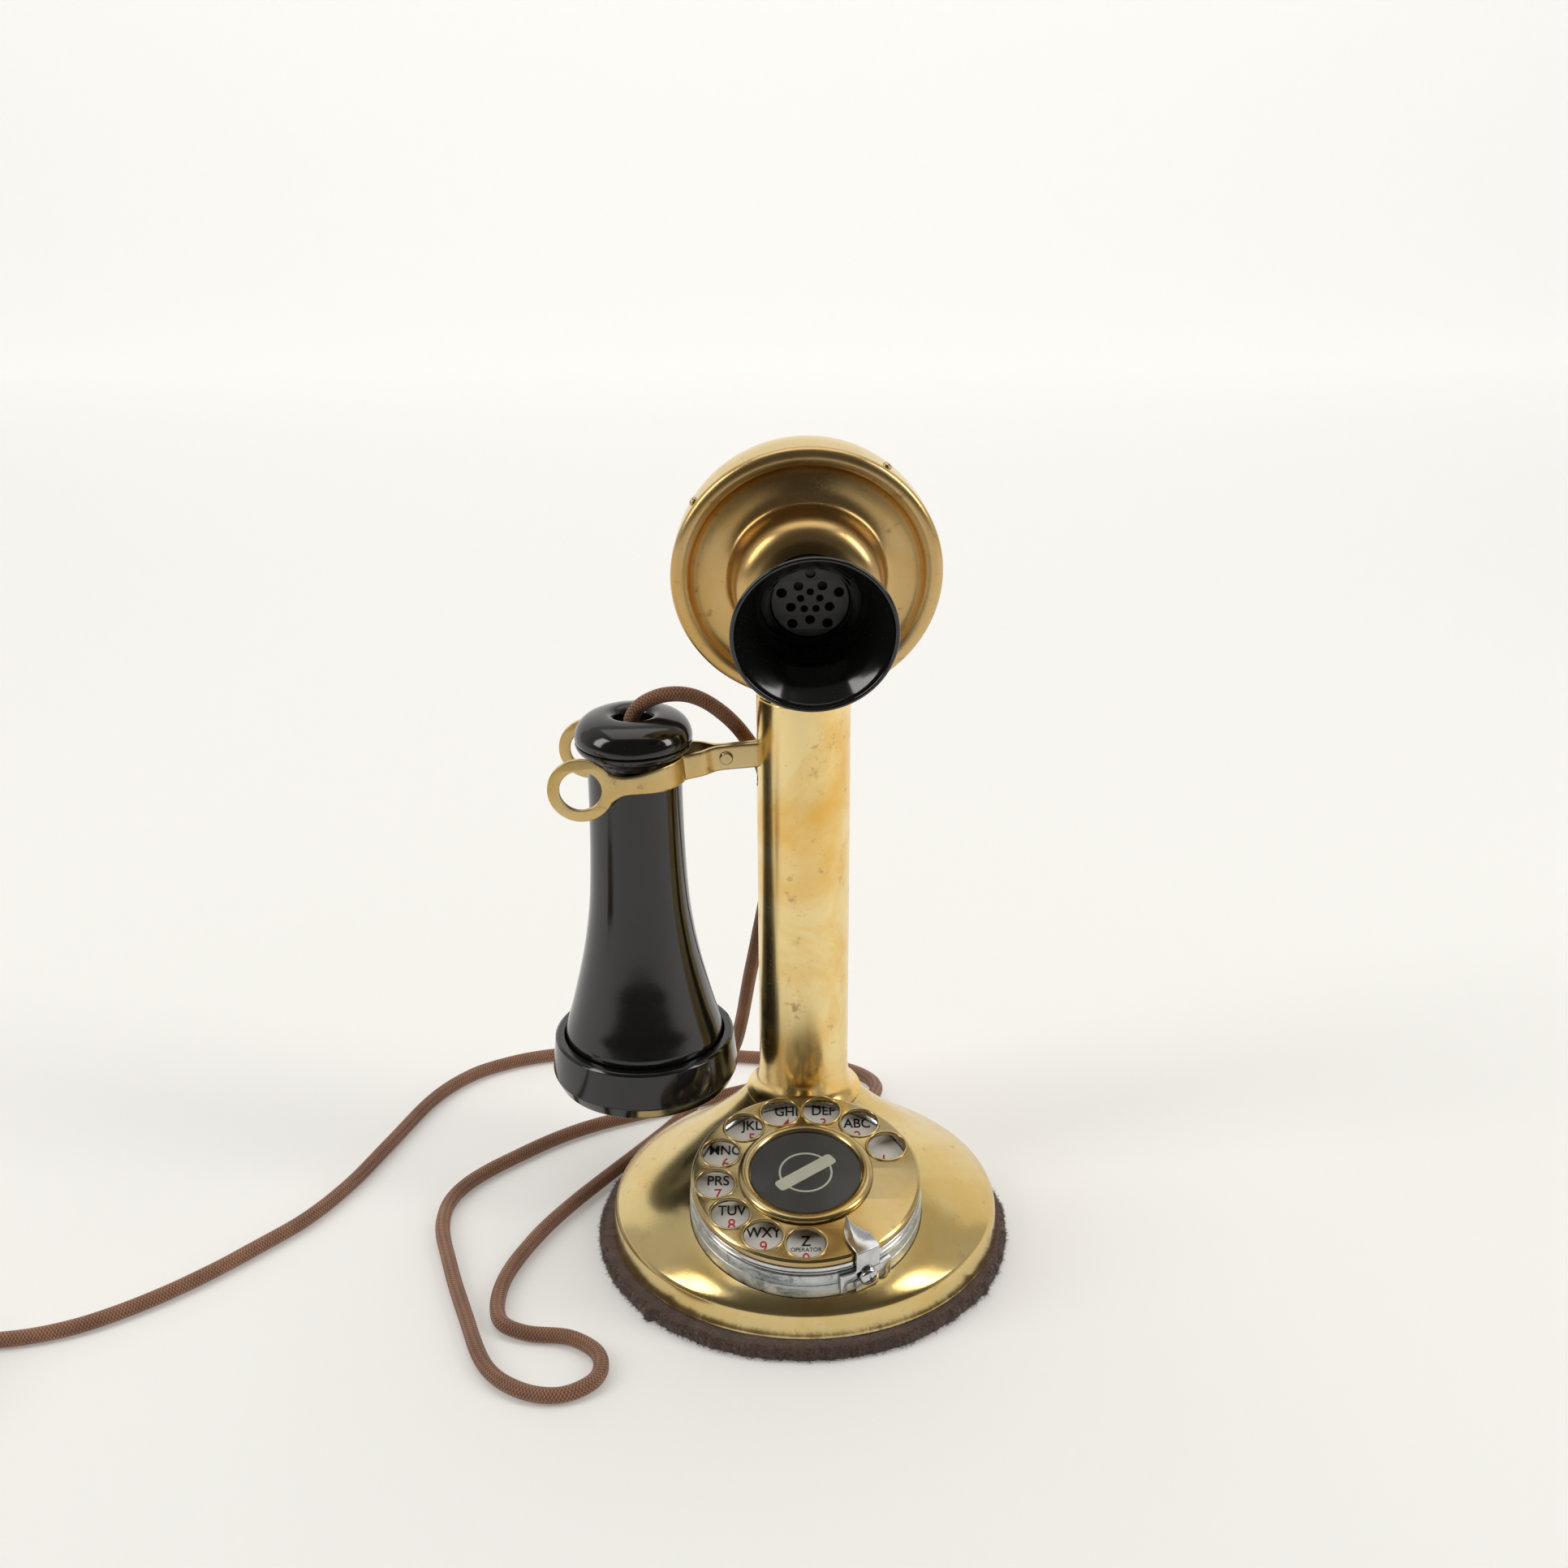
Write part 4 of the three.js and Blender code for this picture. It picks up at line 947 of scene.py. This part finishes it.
def stop_plate():
    """The stop's lower end: a plate with a tab on each side, bowed round the dial's case."""
    right = [(4.4, -6.6, 0.8), (9.5, -6.6, 0.4), (9.5, -14.4, 0.3), (7.3, -14.4, 0.3), (7.3, -10.4, 0.5),
             (4.2, -10.4, 0.5), (4.2, -15.4, 0.4)]
    left = [(-4.2, -15.4, 0.4), (-4.2, -10.4, 0.5), (-7.3, -10.4, 0.5), (-7.3, -14.4, 0.3),
            (-9.5, -14.4, 0.3), (-9.5, -6.6, 0.4), (-4.2, -6.6, 0.8)]
    outline = rounded([(-4.2, 1.9), (4.4, 1.9)] + right + left)
    plate = outline_plate("drop", [outline], 0.45, 0.15, 2)
    plate.transform(Matrix.Translation((39.95, 0, 0)) @ QUARTER_Z @ QUARTER_X)
    bend_radius = 40.0
    for vertex in plate.vertices:
        if abs(vertex.co.y) > 4.3:
            bow = bend_radius - math.sqrt(bend_radius ** 2 - vertex.co.y ** 2)
            vertex.co.x -= 0.9 * bow
    return plate


# ---------- transmitter
def cup_radius(depth):
    """The cup's radius behind its rim: a full, squarish dome."""
    part = max(depth - 4, 0) / 30
    return 42 * max(1 - part ** 2.6, 0) ** (1 / 2.6)


def make_transmitter():
    back = [(42.0, -1.4), (42.0, -4.0)]
    for i in range(1, 31):
        depth = 4 + 30 * sin(rad(90 * i / 30))
        back.append((cup_radius(depth) if i < 30 else 0, -depth))
    front = [(r - 1.3 if r > 1.3 else 0, z + 1.3) for r, z in reversed(back)]
    front[-1] = (40.7, -1.4)
    cup = lathe("cup", back + front, 140)
    add_piece("cup", cup, "transmitter", "brass", ["transmitter_cup"], CUP, 50)
    make_face()
    make_horn()
    make_grille()
    make_cup_screws()


def make_face():
    """The pressed front: a raised boss, a dished ring and a rolled rim."""
    boss = [(14.2, 14.8), (17.4, 14.5), (20.0, 13.4), (22.0, 11.4), (23.2, 8.6), (23.7, 5.4), (24.1, 2.4)]
    dish = [(25.2, 0.2), (27.6, -0.9), (31, -1.25), (34.4, -0.9), (36.2, 0.1)]
    rim = [(37.4, 1.3), (39.2, 2.0), (41, 1.75), (42.2, 0.9), (42.6, -0.1)]
    rear = [(42.5, -1.1), (41.6, -1.1), (37.2, -1.1), (35.4, -2.3), (25.6, -2.2), (22.8, 1), (22.0, 8),
            (19, 12), (14.2, 13.2)]
    face = lathe("face", through(boss + dish + rim, 5) + rear, 160)
    add_piece("face", face, "transmitter", "brass_face", ["transmitter_face"], CUP, 50)


def make_horn():
    outside = through([(13.9, 14.2), (14.0, 17), (14.6, 21), (15.9, 26), (17.9, 31), (20.7, 36), (23.5, 40),
                       (24.7, 41.6)], 5)
    lip = [(24.4 + 0.75 * cos(rad(a)), 42.0 + 0.85 * sin(rad(a))) for a in range(-10, 171, 15)]
    inside = through([(23.3, 41.4), (21.4, 38.8), (19.0, 35.4), (16.4, 31), (14.2, 26), (12.8, 21),
                      (12.2, 18.4), (12.2, 6)], 5)
    horn = lathe("horn", [(13.9, 6)] + outside + lip + inside, 128)
    add_piece("horn", horn, "transmitter", "bakelite", ["mouthpiece"], CUP, 50)


def make_grille():
    """The plate in the mouthpiece's throat, with three rings of five holes."""
    holes = []
    for ring, size, start in ((3.1, 1.05, 90), (6.2, 1.4, 54), (9.2, 1.5, 90)):
        for i in range(5):
            angle = rad(start + 72 * i)
            holes.append(circle(ring * cos(angle), ring * sin(angle), size, 24))
    grille = outline_plate("grille", [circle(0, 0, 11.9, 80), *holes], 0.8, 0.2, 2)
    grille.transform(Matrix.Translation((0, 0, 17)))
    add_piece("grille", grille, "transmitter", "bakelite_dull", ["mouthpiece_grille"], CUP)


def make_cup_screws():
    for i in range(4):
        spot = Matrix.Rotation(rad(55 + 90 * i), 4, "Z") @ Matrix.Translation((42.3, 0, -3.4))
        place = CUP @ spot @ QUARTER_Y @ Matrix.Rotation(rad(25 * i), 4, "Z")
        add_piece(f"cup_screw_{i + 1}", screw_head(1.5, 1.3), "transmitter", "brass_bright",
                  [f"rim_screw_{i + 1}"], place)


# ---------- switch hook
def arm_half_height(x):
    """Half the strip's height: even, then a waist, then a flare into the ring."""
    waist = 1.2 * math.exp(-((x + 60) / 6.5) ** 2)
    flare = 3.0 * max(0.0, min(1.0, (-62 - x) / 7)) ** 2
    return 4.3 - waist + flare


def hook_arm(side):
    """One strip of the fork, swept along its own line, with the ring at its tip."""
    neck_x, neck_radius = -59.8, 18.2
    line = [(5, -0.95), (-20, -0.95), (-30, -0.95), (-33.5, -1.9), (-37.2, -4.6)]
    for degrees in range(-22, -99, -8):
        angle = rad(degrees)
        line.append((neck_x + neck_radius * cos(angle), neck_radius * sin(angle)))
    path = through(line + [(neck_x - 5, -18.5), (neck_x - 9.3, RING_CENTRE.y)], 6)
    verts, faces = [], []
    section = rounded([(-0.8, -1, 0.3), (0.8, -1, 0.3), (0.8, 1, 0.3), (-0.8, 1, 0.3)], 3)
    for i, (x, y) in enumerate(path):
        a, b = path[max(i - 1, 0)], path[min(i + 1, len(path) - 1)]
        forward = Vector((b[0] - a[0], b[1] - a[1], 0)).normalized()
        across = Vector((-forward.y, forward.x, 0))
        for u, v in section:
            verts.append(Vector((x, y, v * arm_half_height(x))) + across * u)
    count = len(section)
    for i in range(len(path) - 1):
        for k in range(count):
            j = (k + 1) % count
            faces.append((i * count + k, i * count + j, (i + 1) * count + j, (i + 1) * count + k))
    faces.append(tuple(range(count)))
    faces.append(tuple(range((len(path) - 1) * count, len(path) * count)))
    ring = outline_plate("ring", [circle(0, 0, 11, 80), circle(0, 0, 7, 64)], 0.8, 0.35, 3)
    ring.transform(Matrix.Translation(RING_CENTRE) @ QUARTER_X)
    arm = joined("arm", solid("strip", verts, faces), ring)
    if side > 0:
        arm.transform(Matrix.Diagonal((1, -1, 1, 1)))
        arm.flip_normals()
    return arm


def make_hook():
    add_piece("hook_front", hook_arm(-1), "hook", "brass_dark", ["hook_front_arm"], HOOK, 40)
    add_piece("hook_rear", hook_arm(1), "hook", "brass_dark", ["hook_rear_arm"], HOOK, 40)
    profile = [(0, -2.6), (1.9, -2.6, 0.3), (2.4, -2.05, 0.2), (1.2, -2.05), (1.2, 2.05), (2.4, 2.05, 0.2),
               (1.9, 2.6, 0.3), (0, 2.6)]
    rivet = lathe("rivet", rounded(profile), 40)
    place = HOOK @ Matrix.Translation((-29, 0, 0)) @ QUARTER_X
    add_piece("hook_rivet_turned", rivet, "hook", "brass_bright", ["hook_rivet"], place)


# ---------- receiver
def bell_profile():
    """The receiver's long bell, from its seam up to the collar and back down its bore."""
    bell = through([(27.7, 66), (26.6, 70), (25, 75.6), (22.7, 84.8), (20.6, 94), (18.8, 104), (17.3, 116),
                    (16.4, 132), (15.95, 150), (15.9, 165)], 6)
    collar = through([(15.9, 168), (16.1, 169.2), (17.3, 170.9), (19, 172.6), (19.7, 174.2)], 4)
    bore = [(19.5, 174.8), (12, 174.8), (12, 110), (15, 95), (20, 80), (24.8, 66), (24.8, 61)]
    return [(27.7, 61), (27.7, 65)] + bell + collar + bore


def top_cap_profile():
    dome = through([(19.6, 175.4), (19.75, 176.4), (19.4, 178.4), (18.2, 180.8), (16, 182.7), (13, 183.9),
                    (10, 184.45), (8.2, 184.3), (6.9, 183.5), (6.2, 182.2), (6.0, 180.5)], 5)
    return [(19.3, 175.1)] + dome + [(5.8, 178), (5.8, 175.1)]


def ear_cap_profile():
    outside = [(6, 46.8, 0.6), (17, 45.4, 4), (24, 43.4, 1.6), (27, 43.4, 1.8), (31, 46.0, 2.5),
               (33, 50.4, 1.6), (31.7, 62.9, 0.6), (30.8, 63.7, 0.7), (28.4, 63.7, 0.4)]
    inside = [(28.2, 60), (29.8, 60), (29.8, 52.4), (27, 49.6), (6, 49.6)]
    return rounded(outside + inside, 8)


def make_receiver():
    for name, profile, node, sharp in (("receiver_body", bell_profile(), "receiver_shell", 50),
                                       ("receiver_button", top_cap_profile(), "receiver_top_cap", 50),
                                       ("receiver_ear", ear_cap_profile(), "receiver_ear_cap", 30)):
        add_piece(name, lathe(name, profile, 128), "receiver", "bakelite", [node], RECEIVER,
                  sharp)


# ---------- materials, and the CAD pieces that stay
MADE = {}


def make_materials():
    for look in (("brass", (0.73, 0.575, 0.27), (0.26, 0.16, 0.06), 0.5, 0.17),
                 ("brass_stem", (0.88, 0.70, 0.34), (0.36, 0.2, 0.07), 0.6, 0.2, (0.92, 0.7, 0.36)),
                 ("brass_face", (0.60, 0.42, 0.19), (0.2, 0.12, 0.05), 0.75, 0.28),
                 ("brass_bright", (0.53, 0.42, 0.215), (0.34, 0.22, 0.10), 0.3, 0.2),
                 ("brass_dark", (0.64, 0.49, 0.24), (0.2, 0.12, 0.05), 0.7, 0.28)):
        MADE[look[0]] = aged_brass(*look)
    for look in (("chrome", (0.72, 0.73, 0.74), 0.08),
                 ("steel", (0.46, 0.46, 0.47), 0.3, 0.12),
                 ("steel_bright", (0.66, 0.67, 0.68), 0.14, 0.1),
                 ("copper", (0.72, 0.38, 0.24), 0.25, 0.1)):
        MADE[look[0]] = plain_metal(*look)
    for look in (("enamel", (0.86, 0.84, 0.79), 0.4, 0.02, 0.05),
                 ("ink_black", (0.012, 0.012, 0.016), 0.4),
                 ("ink_red", (0.62, 0.035, 0.04), 0.4),
                 ("ink_cream", (0.76, 0.74, 0.62), 0.5),
                 ("card", (0.055, 0.057, 0.06), 0.5, 0.05),
                 ("rubber", (0.02, 0.018, 0.016), 0.6),
                 ("braid_plain", (0.17, 0.08, 0.055), 0.9, 0.08)):
        MADE[look[0]] = painted(*look)
    MADE["bakelite"] = black_bakelite("bakelite", (0.004, 0.0042, 0.004), 0.04)
    MADE["bakelite_dull"] = black_bakelite("bakelite_dull", (0.02, 0.02, 0.02), 0.4)
    MADE["zinc"] = cast_zinc()
    MADE["clear"] = clear_sheet()
    MADE["braid"] = braided_cotton()
    MADE["felt"] = wool_felt("felt", 1.25)
    # The fuzz is a lit copy of the felt: the same colours made nearly twice as light, painted light on the
    # loose fibres.
    MADE["fuzz"] = wool_felt("fuzz", 2.3)


def paint_cad():
    """Gives each CAD piece that stays the material of its slot in the record."""
    for part in frame["record"]["subparts"]:
        slot = part["material_slot"]
        look = MADE["braid_plain" if slot == "braid" else slot]
        for holder in bpy.data.objects[part["node"]].material_slots:
            holder.material = look


make_camera()
make_materials()
make_world()
make_backdrop()
make_lights()
paint_cad()
make_receiver_cord()
make_line_cord()
make_base()
make_stem()
make_dial()
make_transmitter()
make_hook()
make_receiver()
